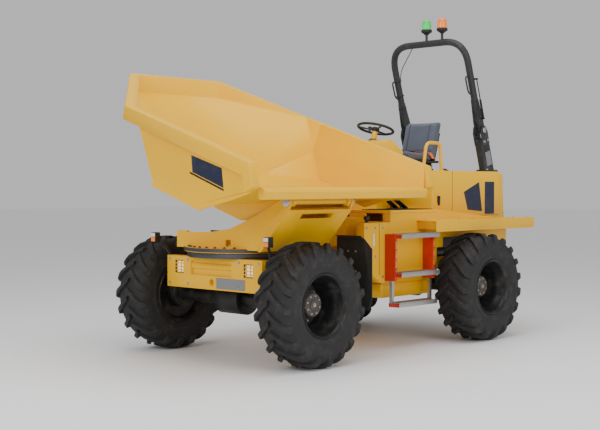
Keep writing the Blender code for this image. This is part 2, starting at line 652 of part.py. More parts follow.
def axle(name, x, holder, origin):
    """Axle casing with its differential and hub ends."""
    hub = TRACK / 2 - TYRE_WIDTH / 2 + 0.06
    z = TYRE_RADIUS
    casing = rod((x, -hub, z), (x, hub, z), 0.075, 20)
    differential = rod((x, -0.16, z), (x, 0.16, z), 0.15, 20)
    nose = rod((x, 0.0, z), (x - (0.24 if x > 0 else -0.24), 0, z), 0.09, 16, end_radius=0.05)
    ends = [rod((x, side * (hub - 0.10), z), (x, side * hub, z), 0.14, 24) for side in (1, -1)]
    top = 0.64 if x > 0 else FRAME_BOTTOM
    pads = [block((x - 0.07, side * 0.30 - 0.05, z), (x + 0.07, side * 0.30 + 0.05, top - SEAM))
            for side in (1, -1)]
    node(name, union(casing, differential, nose, *ends, *pads), BLACK, holder, origin=origin,
         roughness=0.6)
    return hub


def wheels(front_holder, rear_holder, hub):
    """Tyre and rim on each hub, turning about their own axle line."""
    half = TYRE_WIDTH / 2
    flat = 1 / cos(pi / WHEEL_SIDES)
    radius = TYRE_RADIUS * flat
    tyre = [(RIM_RADIUS + 0.004, -half + 0.03), (RIM_RADIUS + 0.03, -half + 0.012), (0.40, -half),
            (0.47, -half + 0.006),
            (radius - 0.035, -half + 0.03), (radius, -half + 0.075), (radius, half - 0.075),
            (radius - 0.035, half - 0.03), (0.47, half - 0.006), (0.40, half), (RIM_RADIUS + 0.03,
                    half - 0.012),
            (RIM_RADIUS + 0.004, half - 0.03), (0.30, half - 0.05), (0.30, -half + 0.05)]
    places = {"front_left": (WHEELBASE / 2, 1, front_holder),
              "front_right": (WHEELBASE / 2, -1, front_holder),
              "rear_left": (-WHEELBASE / 2, 1, rear_holder), "rear_right": (-WHEELBASE / 2, -1,
                      rear_holder)}
    for place, (x, side, holder) in places.items():
        centre = Vector((x, side * TRACK / 2, TYRE_RADIUS))
        local = centre - Vector(holder.matrix_world.translation)
        empty = axis_empty(place + "_wheel_axis", local, holder)
        node(place + "_tyre", turned(tyre, 0, WHEEL_SIDES, phase=0.5), RUBBER, empty, roughness=0.8)
        disc = hub + SEAM - centre.y * side
        rim = [(RIM_RADIUS + 0.003, -half + 0.03), (RIM_RADIUS + 0.003, half - 0.03),
               (RIM_RADIUS + 0.018, half - 0.02),
               (RIM_RADIUS + 0.008, half - 0.012), (RIM_RADIUS - 0.015, half - 0.03), (RIM_RADIUS - 0.03,
                       half - 0.09),
               (RIM_RADIUS - 0.05, disc + 0.04), (0.13, disc + 0.03), (0.13, disc + 0.15), (0.115,
                       disc + 0.165),
               (0.0008, disc + 0.165), (0.0008, disc), (RIM_RADIUS - 0.05, disc), (RIM_RADIUS - 0.03,
                       -half + 0.05),
               (RIM_RADIUS - 0.015, -half + 0.015), (RIM_RADIUS + 0.018, -half + 0.02)]
        node(place + "_rim", turned([(r, side * y) for r, y in rim], 0, WHEEL_SIDES, phase=0.5), BLACK,
             empty)


# Swivel frame and skip


def swivel_frame(holder):
    """The slewing base: its side cheeks hold the tip pivot and its front plate leans out under the lip."""
    ring_top = FRAME_TOP + RING_HEIGHT + 3 * SEAM
    base_top = ring_top + 0.04
    outer, wall = 0.415, 0.03
    reach, rise = TIP_PIVOT_REACH, TIP_PIVOT_Z
    disc = rod((0, 0, ring_top), (0, 0, base_top), 0.585, RING_SIDES)
    cheeks = []
    holes = []
    for side in (1, -1):
        low, high = (outer - wall, outer) if side > 0 else (-outer, -outer + wall)
        outline = [(-0.40, base_top - 0.01), (-0.40, 1.145), (-0.05, 1.155), (0.20, 1.19), (0.42, 1.27),
                   (0.53, 1.312), (0.62, 1.352), (reach - 0.075, rise + 0.008)]
        outline += [(reach + 0.044 * cos(a), rise + 0.044 * sin(a)) for a in
                    (radians(110 - 35 * i) for i in range(5))]
        outline += [(reach + 0.02, rise - 0.07), (0.55, base_top - 0.01)]
        cheeks.append(prism(outline, 1, low, high))
        centre = Vector((reach, 0, rise))
        holes.append(rod(centre + Vector((0, low - 0.02, 0)), centre + Vector((0, high + 0.02, 0)),
                         TIP_SHAFT + 0.0008, 24))
        holes.append(block((0.14, low - 0.02, 1.03), (0.21, high + 0.02, 1.09)))
        posts = block((-0.52, low if side > 0 else -outer, base_top - 0.01),
                      (-0.38, outer if side > 0 else high, 1.16))
        cheeks.append(posts)
    lean = prism([(0.55, base_top - 0.02), (0.59, base_top - 0.02), (reach + 0.02, rise - 0.075),
                  (reach - 0.03, rise - 0.055)], 1, -outer, outer)
    slot = block((0.60, -0.20, rise - 0.15), (1.0, 0.20, rise - 0.11))
    rear_wall = block((-0.42, -outer, base_top - 0.01), (-0.40, outer, 1.10))
    lamp_box = block((0.56, -0.12, 1.06), (0.66, 0.08, 1.17))
    clevis = []
    half, wall_y = RAM_HALF + 0.006, 0.02
    for low in (half, -half - wall_y):
        clevis.append(prism([(0.45, base_top - 0.01), (0.60, base_top - 0.01), (0.575, 1.12),
                             (0.50, 1.12)], 1, low,
                            low + wall_y))
    pin = rod(Vector(TIP_RAM_BASE) - Vector((0, half + wall_y, 0)),
              Vector(TIP_RAM_BASE) + Vector((0, half + wall_y, 0)),
              TIP_RAM_RADIUS * RAM_PIN, 16)
    body = union(disc, *cheeks, lean, rear_wall, lamp_box)
    body = union(cut(body, slot, *holes), *clevis, pin)
    node("swivel_frame", body, YELLOW, holder, origin=(0, 0, SLEW_BASE_Z))


def side_at(z):
    """The skip's outer side, leaning in a little towards its bottom edge."""
    return SKIP_HALF - RIM_WIDTH - SEAM - 0.03 * (SKIP_RIM_Z - z) / (SKIP_RIM_Z - SKIP_FLOOR_Z)


def tub():
    """The skip's welded shell: floor, ramp to the lip, sides, canted rear corners and rear wall."""
    rear = SKIP_REAR_HALF - 0.055
    outline = {
        "top_rear": (SKIP_REAR + 0.065, rear, SKIP_REAR_RIM_Z - 0.004),
        "band_rear": (SKIP_REAR + 0.085, rear - 0.01, SKIP_REAR_RIM_Z - 0.16),
        "floor_rear": (-1.15, rear - 0.03, SKIP_FLOOR_Z),
        "top_side": (SKIP_RIM_BACK + 0.035, side_at(SKIP_RIM_Z), SKIP_RIM_Z - 0.002),
        "low_side": (-0.985, side_at(SKIP_FLOOR_Z), SKIP_FLOOR_Z),
        "ramp_side": (-0.36, side_at(SKIP_FLOOR_Z), SKIP_FLOOR_Z),
        "lip_side": (LIP_X - 0.07, side_at(LIP_Z), LIP_Z - 0.012),
        "front_side": (SKIP_RIM_FRONT - 0.01, side_at(SKIP_RIM_Z), SKIP_RIM_Z - 0.002),
    }
    faces = [("front_side", "top_side", "low_side", "ramp_side", "lip_side"),
             ("top_side", "band_rear", "floor_rear"),
             ("top_side", "floor_rear", "low_side"),
             ("top_side", "top_rear", "band_rear")]
    across = [("top_rear", "band_rear"), ("band_rear", "floor_rear"), ("floor_rear", "low_side"),
              ("low_side", "ramp_side"), ("ramp_side", "lip_side")]
    bm = bmesh.new()
    corner = {}
    for name, (x, y, z) in outline.items():
        for side in (1, -1):
            corner[name, side] = bm.verts.new((x, side * y, z))
    for side in (1, -1):
        for face in faces:
            bm.faces.new([corner[name, side] for name in face])
    for first, second in across:
        bm.faces.new((corner[first, 1], corner[second, 1], corner[second, -1], corner[first, -1]))
    bmesh.ops.recalc_face_normals(bm, faces=bm.faces)
    middle = bm.faces[-1]
    if middle.normal.z > 0:
        bmesh.ops.reverse_faces(bm, faces=bm.faces)
    mesh = bpy.data.meshes.new("tub")
    bm.to_mesh(mesh)
    bm.free()
    shell = link("tub", mesh)
    thick = shell.modifiers.new("wall", "SOLIDIFY")
    thick.thickness = SKIP_WALL
    thick.offset = -1
    thick.use_even_offset = True
    thick.solidify_mode = "NON_MANIFOLD"
    thick.nonmanifold_thickness_mode = "CONSTRAINTS"
    bpy.context.view_layer.update()
    return baked(shell)


def duplicate(shape):
    return link("shape", shape.data.copy())


def kept(shape, low, high):
    """The part of a shape inside a box."""
    return combined(shape, [block(low, high)], "INTERSECT")


def skip_rim():
    """Box-section rim round the sides, canted corners and rear, cut off square at the lip."""
    outer = [(LIP_X - 0.02, SKIP_HALF, LIP_Z + 0.02), (SKIP_RIM_FRONT, SKIP_HALF, SKIP_RIM_Z),
             (SKIP_RIM_BACK, SKIP_HALF, SKIP_RIM_Z), (SKIP_REAR, SKIP_REAR_HALF, SKIP_REAR_RIM_Z)]
    rear_inner = SKIP_REAR_HALF - 0.055 + 2 * SEAM
    wall = SKIP_HALF - RIM_WIDTH
    inner = [(LIP_X - 0.02, wall, LIP_Z + 0.02), (SKIP_RIM_FRONT, wall, SKIP_RIM_Z),
             (SKIP_RIM_BACK + 0.035, wall, SKIP_RIM_Z), (SKIP_REAR + 0.065 - 2 * SEAM, rear_inner,
                                                         SKIP_REAR_RIM_Z)]
    drop = [Vector((-0.075, 0, -0.075)), Vector((-0.035, 0, -RIM_DEPTH)), Vector((0, 0, -RIM_DEPTH)),
            Vector((0, 0, -RIM_DEPTH))]
    bm = bmesh.new()
    loops = []
    for side in (1, -1):
        stations = list(zip(outer, inner, drop))
        if side < 0:
            stations.reverse()
        for out, into, down in stations:
            out = Vector((out[0], side * out[1], out[2]))
            into = Vector((into[0], side * into[1], into[2]))
            loops.append([bm.verts.new(p) for p in (out, into, into + down, out + down)])
    for before, after in zip(loops, loops[1:]):
        for i in range(4):
            j = (i + 1) % 4
            bm.faces.new((before[i], before[j], after[j], after[i]))
    bm.faces.new(loops[0])
    bm.faces.new(loops[-1])
    return from_bmesh("shape", bm)


def skip(holder):
    split = SKIP_HALF - RIM_WIDTH - 0.045
    rear_split = -1.16
    shell = tub()
    far = 3.0
    for name, side in (("skip_side_left", 1), ("skip_side_right", -1)):
        low, high = (split, far) if side > 0 else (-far, -split)
        panel = kept(duplicate(shell), (rear_split, low, -far), (far, high, far))
        # The side plate hangs a little below the floor it is welded to
        near = side_at(SKIP_FLOOR_Z)
        skirt = [(-0.975, -0.187), (-0.334, -0.187), (0.10, 0.078), (0.24, 0.18), (0.20, 0.19),
                 (-0.35, -0.10),
                 (-0.975, -0.10)]
        low, high = (near - SKIP_WALL, near) if side > 0 else (-near, -near + SKIP_WALL)
        node(name, union(panel, prism(skirt, 1, low, high)), YELLOW, holder, smooth=False)
    middle = split - SEAM
    floor = kept(duplicate(shell), (rear_split, -middle, -far), (far, middle, far))
    cheek_gap = RAM_HALF * 0.8 + 0.012
    eye_x, eye_z = TIP_RAM_EYE[0], TIP_RAM_EYE[2]
    lugs = []
    for low in (cheek_gap, -cheek_gap - 0.02):
        lugs.append(prism([(eye_x - 0.07, SKIP_FLOOR_Z + 0.004), (eye_x + 0.07, SKIP_FLOOR_Z + 0.004),
                           (eye_x + 0.035, eye_z - 0.035), (eye_x - 0.035,
                                                            eye_z - 0.035)], 1, low, low + 0.02))
    lip = [(LIP_X - 0.071, LIP_Z - 0.030), (LIP_X - 0.071, LIP_Z - 0.002), (LIP_X - 0.02, LIP_Z),
           (LIP_X, LIP_Z - 0.02),
           (LIP_X, LIP_Z - LIP_DEPTH + 0.01), (LIP_X - 0.02, LIP_Z - LIP_DEPTH), (LIP_X - 0.05,
                   LIP_Z - LIP_DEPTH)]
    fold = prism(lip, 1, -middle, middle)
    node("skip_floor", union(floor, fold, *lugs), YELLOW, holder, smooth=False)
    rear = kept(shell, (-far, -far, -far), (rear_split - SEAM, far, far))
    node("skip_rear", rear, YELLOW, holder, smooth=False)
    node("skip_rim", skip_rim(), YELLOW, holder, smooth=False)

    # Two beams under the floor carry the tip shaft
    beam_out, beam_in = 0.37, 0.34
    under = SKIP_FLOOR_Z - SEAM
    ramp_foot = -0.36
    slope = (LIP_Z - 0.012 - SKIP_FLOOR_Z) / (LIP_X - 0.07 - ramp_foot)
    beam = [(-1.00, under), (-0.88, -0.362), (-0.52, -0.355), (-0.40, -0.314), (-0.045, -0.04),
            (-0.03, 0.03),
            (-0.04, under + (-0.04 - ramp_foot) * slope - 0.001), (ramp_foot + 0.002, under)]
    shaft_end = 0.42
    shaft = rod((0, -shaft_end, 0), (0, shaft_end, 0), TIP_SHAFT, 24)
    hubs = [rod((0, low - 0.003, 0), (0, low + beam_out - beam_in + 0.003, 0), 0.046,
                24) for low in (beam_in, -beam_out)]
    plates = [prism(beam, 1, low, low + beam_out - beam_in) for low in (beam_in, -beam_out)]
    node("skip_beams", union(*plates, *hubs, shaft), YELLOW, holder, smooth=False)


# Assembly


machine = axis_empty("machine", (0, 0, 0))
rear_frame(machine)
tanks(machine)
rear_body(machine)
rear_door(machine)
fenders(machine)
driver_place(machine)
ladder(machine)
rops(machine)
hub_end = axle("rear_axle", -WHEELBASE / 2, machine, (0, 0, 0))

yoke_axis = axis_empty("articulation_axis", (PIVOT_X, 0, OSCILLATION_Z), machine)
yoke(yoke_axis)
ram("steering_ram", (*STEER_BASE[:2], STEER_Z), (*STEER_EYE[:2], STEER_Z), machine, STEER_RADIUS, 0.014,
    0.46)
front_axis = axis_empty("oscillation_axis", (0, 0, 0), yoke_axis)
front_frame(front_axis)
slew_ring(front_axis)
axle("front_axle", WHEELBASE / 2, front_axis, (PIVOT_X, 0, OSCILLATION_Z))
wheels(front_axis, machine, hub_end)

swivel_axis = axis_empty("swivel_axis", (SLEW_X - PIVOT_X, 0, 0), front_axis,
                         Matrix.Rotation(SWIVEL_REST, 4, "Z"))
swivel_frame(swivel_axis)
tip_axis = axis_empty("tip_axis", (TIP_PIVOT_REACH, 0, TIP_PIVOT_Z - SLEW_BASE_Z), swivel_axis,
                      Matrix.Rotation(TIP_REST, 4, "Y"))
skip(tip_axis)
tip_eye = Vector((TIP_PIVOT_REACH, 0, TIP_PIVOT_Z)) + Matrix.Rotation(TIP_REST, 3,
        "Y") @ Vector(TIP_RAM_EYE)
down = Vector((0, 0, SLEW_BASE_Z))
ram("tip_ram", Vector(TIP_RAM_BASE) - down, tip_eye - down, swivel_axis, TIP_RAM_RADIUS, 0.024, 0.52)

# The origin is the middle of the bounding box, at floor level
bpy.context.view_layer.update()
points = [part.matrix_world @ vertex.co for part in bpy.data.objects if part.type == "MESH"
          for vertex in part.data.vertices]
machine.location.x -= (min(p.x for p in points) + max(p.x for p in points)) / 2
machine.location.y -= (min(p.y for p in points) + max(p.y for p in points)) / 2
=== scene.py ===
"""Looks of the swivel-skip site dumper: paint, treads, padding, lamps, hoses and trim round the fixed parts.

Metres, +Z up, +X towards the skip end, +Y the machine's left.
"""

import json
from math import cos, pi, radians, sin

import bmesh
import bpy
from mathutils import Matrix, Vector


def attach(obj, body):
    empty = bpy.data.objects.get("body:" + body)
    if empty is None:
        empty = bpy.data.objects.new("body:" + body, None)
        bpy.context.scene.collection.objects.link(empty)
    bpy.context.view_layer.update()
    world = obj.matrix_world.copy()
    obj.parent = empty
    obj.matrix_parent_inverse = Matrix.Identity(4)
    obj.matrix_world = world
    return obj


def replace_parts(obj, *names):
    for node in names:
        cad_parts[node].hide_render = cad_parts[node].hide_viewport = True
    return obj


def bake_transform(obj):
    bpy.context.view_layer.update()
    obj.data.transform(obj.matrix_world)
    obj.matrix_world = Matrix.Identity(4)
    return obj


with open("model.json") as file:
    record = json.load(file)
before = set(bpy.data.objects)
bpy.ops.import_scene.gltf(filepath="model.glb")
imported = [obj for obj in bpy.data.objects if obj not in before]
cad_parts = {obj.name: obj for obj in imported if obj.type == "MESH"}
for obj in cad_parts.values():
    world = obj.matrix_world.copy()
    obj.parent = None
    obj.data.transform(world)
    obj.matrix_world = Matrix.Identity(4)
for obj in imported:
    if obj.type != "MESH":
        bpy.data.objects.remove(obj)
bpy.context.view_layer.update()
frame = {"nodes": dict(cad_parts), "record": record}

MACHINE = Matrix.Translation((0, -0.0777, 0))  # the chassis centre line lies right of the origin
SWIVEL = MACHINE @ Matrix.Translation((1.12, 0, 0)) @ Matrix.Rotation(radians(90), 4, "Z")
SKIP = SWIVEL @ Matrix.Translation((0.899, 0, 1.438)) @ Matrix.Rotation(radians(18.5), 4, "Y")
WHEELBASE = 2.544
TRACK = 1.87
TYRE_RADIUS = 0.545
LUG_COUNT = 19  # on each side of the tread
WHEELS = {
    "front_left": (WHEELBASE / 2, 1),
    "front_right": (WHEELBASE / 2, -1),
    "rear_left": (-WHEELBASE / 2, 1),
    "rear_right": (-WHEELBASE / 2, -1),
}
ROPS_LEAN = radians(17.5)
ROPS_BASE = Vector((-2.06, 0, 1.73))
ROPS_HINGE = Vector((-1.918, 0, 2.18))
ROPS_HALF = 0.50
HOOP_RADIUS = 0.037
HOOP_MIDDLE = 3.17 - HOOP_RADIUS  # height of the tube's centre at the top
BEACON_SPACING = 0.21
STEERING_HUB = Vector((-0.74, 0, 2.17))
STEERING_DIR = Vector((-0.28, 0, 0.96)).normalized()
X, Y, Z = Vector((1, 0, 0)), Vector((0, 1, 0)), Vector((0, 0, 1))

# Faces that trim sits on, a hair's breadth outside the metal
FRONT_FACE = 1.56
SLEW_TOP = 1.0165
HOOD_TOP = 1.7304
HOOD_SIDE = 0.6202
TANK_TOP = 1.2252
TANK_SIDE = 0.7002
VALVE_TOP = 1.2602
DECK_TOP = 1.3355
WING_TOP = 1.2352
WING_END = -2.3003
REAR_FACE = -2.2003
LADDER_SIDE = 0.8302
SEAT_FOOT = 1.8459

# Ram pins: the tip ram's in the swivel frame and the skip, the steering ram's on the two chassis
TIP_RAM_BASE = Vector((0.52, 0, 1.085))
TIP_RAM_EYE = Vector((-0.95, 0, -0.24))
STEERING_RAM_BASE = Vector((-0.45, 0.20, 0.668))
STEERING_RAM_EYE = Vector((0.25, 0.25, 0.668))

HOSE_ROW = (-0.24, -0.12, 0.0, 0.12)
LOUVRE_COUNT = 6
WELD_BEAD = 0.005
PAD_SWELL = 0.008
PAD_MESH = 0.009
STUFFING_PRESSURE = 4.0
STUFFING_FRAMES = 20


# Shaders


class Wire:
    """A node's output socket, so that a shader reads as arithmetic."""

    def __init__(self, shader, socket):
        self.shader = shader
        self.socket = socket

    def _math(self, operation, other):
        return self.shader.node("ShaderNodeMath", {0: self, 1: other}, operation=operation)

    def __add__(self, other):
        return self._math("ADD", other)

    def __mul__(self, other):
        return self._math("MULTIPLY", other)

    __radd__ = __add__
    __rmul__ = __mul__

    def above(self, low, high):
        """0 below low and 1 above high, with a soft step between."""
        fields = {"Value": self, "From Min": low, "From Max": high}
        return self.shader.node("ShaderNodeMapRange", fields, interpolation_type="SMOOTHSTEP")


class Shader:
    """A material with one Principled BSDF and the nodes that feed it."""

    def __init__(self, name, color, roughness=0.5, metallic=0.0, **sockets):
        self.material = bpy.data.materials.new(name)
        self.material.use_nodes = True
        self.tree = self.material.node_tree
        self.surface = self.tree.nodes["Principled BSDF"]
        self.material.diffuse_color = (*color, 1)
        self.color = color
        self.set("Base Color", (*color, 1))
        self.set("Roughness", roughness)
        self.set("Metallic", metallic)
        for socket, value in sockets.items():
            self.set(socket.replace("_", " ").title().replace("Ior", "IOR"), value)

    def set(self, socket, value):
        self.feed(self.surface.inputs[socket], value)

    def feed(self, socket, value):
        if isinstance(value, Wire):
            self.tree.links.new(value.socket, socket)
        else:
            socket.default_value = value

    def node(self, kind, fields, output=0, **settings):
        made = self.tree.nodes.new(kind)
        for setting, value in settings.items():
            setattr(made, setting, value)
        for socket, value in fields.items():
            self.feed(made.inputs[socket], value)
        return Wire(self, made.outputs[output])

    def place(self):
        return self.node("ShaderNodeTexCoord", {}, output="Object")

    def noise(self, scale, detail=3.0, rough=0.5):
        fields = {"Vector": self.place(), "Scale": scale, "Detail": detail, "Roughness": rough}
        return self.node("ShaderNodeTexNoise", fields)

    def mix(self, amount, first, second):
        """A colour between two others."""
        fields = {"Factor": amount, "A": first, "B": second}
        made = self.tree.nodes.new("ShaderNodeMix")
        made.data_type = "RGBA"
        self.feed(made.inputs["Factor"], fields["Factor"])
        for socket in made.inputs:
            if socket.type == "RGBA" and socket.name in ("A", "B"):
                self.feed(socket, fields[socket.name])
        return Wire(self, next(out for out in made.outputs if out.type == "RGBA"))

    def bump(self, height, distance, strength=1.0):
        fields = {"Height": height, "Distance": distance, "Strength": strength}
        self.set("Normal", self.node("ShaderNodeBump", fields))


def tinted(color, share):
    return tuple(channel * share for channel in color) + (1,)


def painted(name, color, roughness, dust=0.10, coat=0.3):
    """Machine paint: a faint orange peel, thin dust and slight tone changes."""
    paint = Shader(name, color, roughness, coat_weight=coat, coat_roughness=0.12, specular_ior_level=0.25)
    tone = paint.noise(2.3, 4.0)
    film = paint.noise(9.0, 6.0, 0.6).above(0.50, 0.78) * dust
    shaded = paint.mix(tone, tinted(color, 0.93), tinted(color, 1.05))
    paint.set("Base Color", paint.mix(film, shaded, (0.42, 0.36, 0.25, 1)))
    paint.set("Roughness", film * 0.8 + (tone * 0.08 + (roughness - 0.04)))
    paint.bump(paint.noise(420.0, 1.0) * 0.5 + paint.noise(38.0, 2.0), 0.0004, 0.22)
    return paint.material


def rubber(name, color, roughness=0.78, dust=0.25):
    """Rubber with dust in its hollows."""
    hide = Shader(name, color, roughness)
    film = hide.noise(14.0, 6.0, 0.65).above(0.46, 0.74) * dust
    hide.set("Base Color", hide.mix(film, (*color, 1), (0.12, 0.105, 0.085, 1)))
    hide.set("Roughness", film * 0.3 + roughness)
    hide.bump(hide.noise(260.0, 3.0), 0.0008, 0.35)
    return hide.material


def metal(name, color, roughness, streak=0.12):
    """Bare or plated metal with uneven polish."""
    bare = Shader(name, color, roughness, 1.0)
    wear = bare.noise(60.0, 4.0)
    bare.set("Roughness", wear * streak + roughness)
    bare.set("Base Color", bare.mix(wear, tinted(color, 0.8), tinted(color, 1.1)))
    return bare.material


def lens(name, color, glow=0.0, roughness=0.12):
    """Moulded lamp plastic, ribbed inside."""
    clear = Shader(name, color, roughness, coat_weight=0.6, coat_roughness=0.05)
    ribs = clear.node("ShaderNodeTexWave", {"Vector": clear.place(), "Scale": 34.0, "Distortion": 0.2})
    lit = clear.mix(ribs, tinted(color, 0.65), tinted(color, 1.0))
    clear.set("Base Color", lit)
    # The glow lights lamp glasses; on the reflector film and the tank's sight glass, which are no lamps, it
    # is a painted glow.
    clear.set("Emission Color", lit)
    clear.set("Emission Strength", glow)
    return clear.material


def woven(name, color, thread=260.0):
    """Coated cloth with a fine weave."""
    cloth = Shader(name, color, 0.72, sheen_weight=0.25)
    warp = cloth.node("ShaderNodeTexWave", {"Vector": cloth.place(), "Scale": thread}, bands_direction="X")
    weft = cloth.node("ShaderNodeTexWave", {"Vector": cloth.place(), "Scale": thread}, bands_direction="Y")
    tone = cloth.noise(11.0, 4.0)
    cloth.set("Base Color", cloth.mix(tone, tinted(color, 0.8), tinted(color, 1.25)))
    cloth.bump(warp * weft + tone, 0.0010, 0.35)
    return cloth.material


YELLOW = painted("yellow_machine_paint", (0.88, 0.48, 0.0), 0.34, dust=0.02, coat=0.06)
INSIDE_YELLOW = painted("yellow_skip_paint", (0.88, 0.48, 0.0), 0.38, dust=0.03, coat=0.04)
CHARCOAL = painted("charcoal_roll_bar_coat", (0.030, 0.032, 0.038), 0.45, dust=0.06, coat=0.1)
BLACK = painted("black_chassis_paint", (0.012, 0.012, 0.013), 0.42, dust=0.12, coat=0.1)
RED = painted("red_step_paint", (0.62, 0.030, 0.012), 0.36, dust=0.06)
HUB_BROWN = painted("brown_grey_hub_paint", (0.085, 0.072, 0.062), 0.55, dust=0.3, coat=0.0)
NAVY = painted("navy_plate_film", (0.010, 0.014, 0.045), 0.30, dust=0.04)
TYRE = rubber("tyre_rubber_black", (0.014, 0.014, 0.015))
RUBBER = rubber("flap_rubber_black", (0.012, 0.012, 0.012), 0.65, dust=0.12)
HOSE = rubber("hydraulic_hose_rubber", (0.008, 0.008, 0.009), 0.45, dust=0.08)
PLASTIC = rubber("textured_black_plastic", (0.013, 0.013, 0.014), 0.55, dust=0.04)
DARK_STEEL = metal("greased_dark_steel", (0.10, 0.10, 0.11), 0.42)
ZINC = metal("zinc_plated_steel", (0.52, 0.52, 0.50), 0.34)
CHROME = metal("chromed_rod_steel", (0.85, 0.85, 0.86), 0.08, 0.05)
SEAT = woven("grey_blue_seat_cloth", (0.060, 0.072, 0.105))
WEBBING = woven("orange_belt_webbing", (0.80, 0.16, 0.01), 420.0)
PIPING = woven("seat_seam_piping", (0.020, 0.024, 0.034), 500.0)
HEADLIGHT = lens("headlight_warm_white", (0.95, 0.80, 0.52), 1.4)
# Glows faintly: a lamp's light on the marker and work lamp glasses, a painted glow on the tank's sight
# glass.
CLEAR_LENS = lens("marker_clear_lens", (0.80, 0.82, 0.80), 0.1)
GREEN_LENS = lens("beacon_green_lens", (0.010, 0.62, 0.10), 0.35)
AMBER_LENS = lens("amber_lens", (0.95, 0.22, 0.005), 0.35)
RED_LENS = lens("tail_red_lens", (0.60, 0.010, 0.008), 0.1)
# Orange reflector film with a faint glow: a painted glow standing in for reflected light, as it is no lamp.
REFLECTOR_PAINTED_GLOW = lens("orange_reflector_film_painted_glow", (0.95, 0.24, 0.01), 0.15, 0.3)
GAUGE = Shader("gauge_face_enamel", (0.75, 0.76, 0.74), 0.3, coat_weight=1.0).material
GREY_PLATE = painted("grey_label_plate", (0.20, 0.21, 0.22), 0.4, dust=0.05)


# Shapes


class Shape:
    """Solids gathered into one piece."""

    def __init__(self, place=MACHINE):
        self.bm = bmesh.new()
        self.place = place

    def loft(self, loops, closed=False):
        """Skins a row of equal loops of points, and caps its ends unless it is closed on itself."""
        rows = [[self.bm.verts.new(point) for point in loop] for loop in loops]
        pairs = list(zip(rows, rows[1:]))
        if closed:
            pairs.append((rows[-1], rows[0]))
        for before, after in pairs:
            for i in range(len(before)):
                j = (i + 1) % len(before)
                self.bm.faces.new((before[i], before[j], after[j], after[i]))
        if not closed:
            self.bm.faces.new(rows[0])
            self.bm.faces.new(rows[-1])
        return self

    def prism(self, outline, axis, low, high):
        """A polygon, given by its two other coordinates in X, Y, Z order, extruded along an axis."""
        rest = [i for i in range(3) if i != axis]
        loops = []
        for level in (low, high):
            loop = []
            for point in outline:
                corner = [0.0, 0.0, 0.0]
                corner[rest[0]], corner[rest[1]] = point
                corner[axis] = level
                loop.append(corner)
            loops.append(loop)
        return self.loft(loops)

    def box(self, low, high):
        (x0, y0, z0), (x1, y1, z1) = low, high
        return self.prism([(x0, y0), (x1, y0), (x1, y1), (x0, y1)], 2, z0, z1)

    def turned(self, profile, centre, axis, steps=48):
        """A closed outline of (radius, distance along the axis) spun about the axis."""
        axis = Vector(axis).normalized()
        side = axis.orthogonal().normalized()
        up = axis.cross(side)
        loops = []
        for step in range(steps):
            angle = 2 * pi * step / steps
            out = side * cos(angle) + up * sin(angle)
            loops.append([Vector(centre) + out * radius + axis * along for radius, along in profile])
        return self.loft(loops, closed=True)

    def bar(self, start, end, radius, sides=24, end_radius=None):
        start, end = Vector(start), Vector(end)
        axis = (end - start).normalized()
        side = axis.orthogonal().normalized()
        up = axis.cross(side)
        loops = []
        for centre, size in ((start, radius), (end, radius if end_radius is None else end_radius)):
            loops.append(round_of(centre, size, sides, side, up))
        return self.loft(loops)

    def tube(self, points, radius, corner=0.03, sides=14, steps=7):
        """A round tube along a path with rounded corners."""
        line = rounded([Vector(point) for point in points], corner, steps)
        side = None
        loops = []
        for i, centre in enumerate(line):
            before = line[max(i - 1, 0)]
            after = line[min(i + 1, len(line) - 1)]
            axis = (after - before).normalized()
            if side is None:
                side = axis.orthogonal().normalized()
            side = (side - axis * side.dot(axis)).normalized()
            up = axis.cross(side)
            loops.append(round_of(centre, radius, sides, side, up))
        return self.loft(loops)

    def bolt(self, place, axis, size=0.011, height=0.012):
        """A hexagon head on a washer."""
        place, axis = Vector(place), Vector(axis).normalized()
        self.bar(place, place + axis * 0.003, size * 1.5, 20)
        self.bar(place + axis * 0.003, place + axis * height, size, 6, size * 0.94)
        return self

    def bolts(self, places, axis, size=0.011, height=0.012):
        for place in places:
            self.bolt(place, axis, size, height)
        return self

    def piece(self, name, body, material, slot, bevel=0.0, smooth=True):
        """Ends the shape as one object. With no body it is left without a parent."""
        bmesh.ops.recalc_face_normals(self.bm, faces=self.bm.faces)
        mesh = bpy.data.meshes.new(name)
        self.bm.to_mesh(mesh)
        self.bm.free()
        mesh.transform(self.place)
        mesh.materials.append(material)
        made = bpy.data.objects.new(name, mesh)
        bpy.context.scene.collection.objects.link(made)
        if smooth:
            mesh.shade_smooth()
            mesh.set_sharp_from_angle(angle=radians(38))
        if bevel:
            soften(made, bevel)
        if body:
            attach(made, body)
        return made


def rounded(points, corner, steps):
    """A path whose inner corners are replaced by arcs."""
    line = [points[0]]
    for before, here, after in zip(points, points[1:], points[2:]):
        reach = min(corner, (here - before).length * 0.45, (after - here).length * 0.45)
        first = here + (before - here).normalized() * reach
        last = here + (after - here).normalized() * reach
        for step in range(steps + 1):
            t = step / steps
            line.append(first * (1 - t) ** 2 + here * 2 * t * (1 - t) + last * t ** 2)
    line.append(points[-1])
    return line


def span(side, near, far):
    """Two distances from the middle as places on one side of the machine, lowest first."""
    return sorted((side * near, side * far))


def soften(made, width, segments=2, angle=38):
    edge = made.modifiers.new("rounded_edges", "BEVEL")
    edge.width = width
    edge.segments = segments
    edge.limit_method = "ANGLE"
    edge.angle_limit = radians(angle)
    edge.harden_normals = True


def round_of(centre, radius, count, first, second, start=0.0):
    """Points evenly round a circle in the plane of two directions."""
    angles = [start + 2 * pi * i / count for i in range(count)]
    return [Vector(centre) + (first * cos(angle) + second * sin(angle)) * radius for angle in angles]


# Finish of the fixed parts

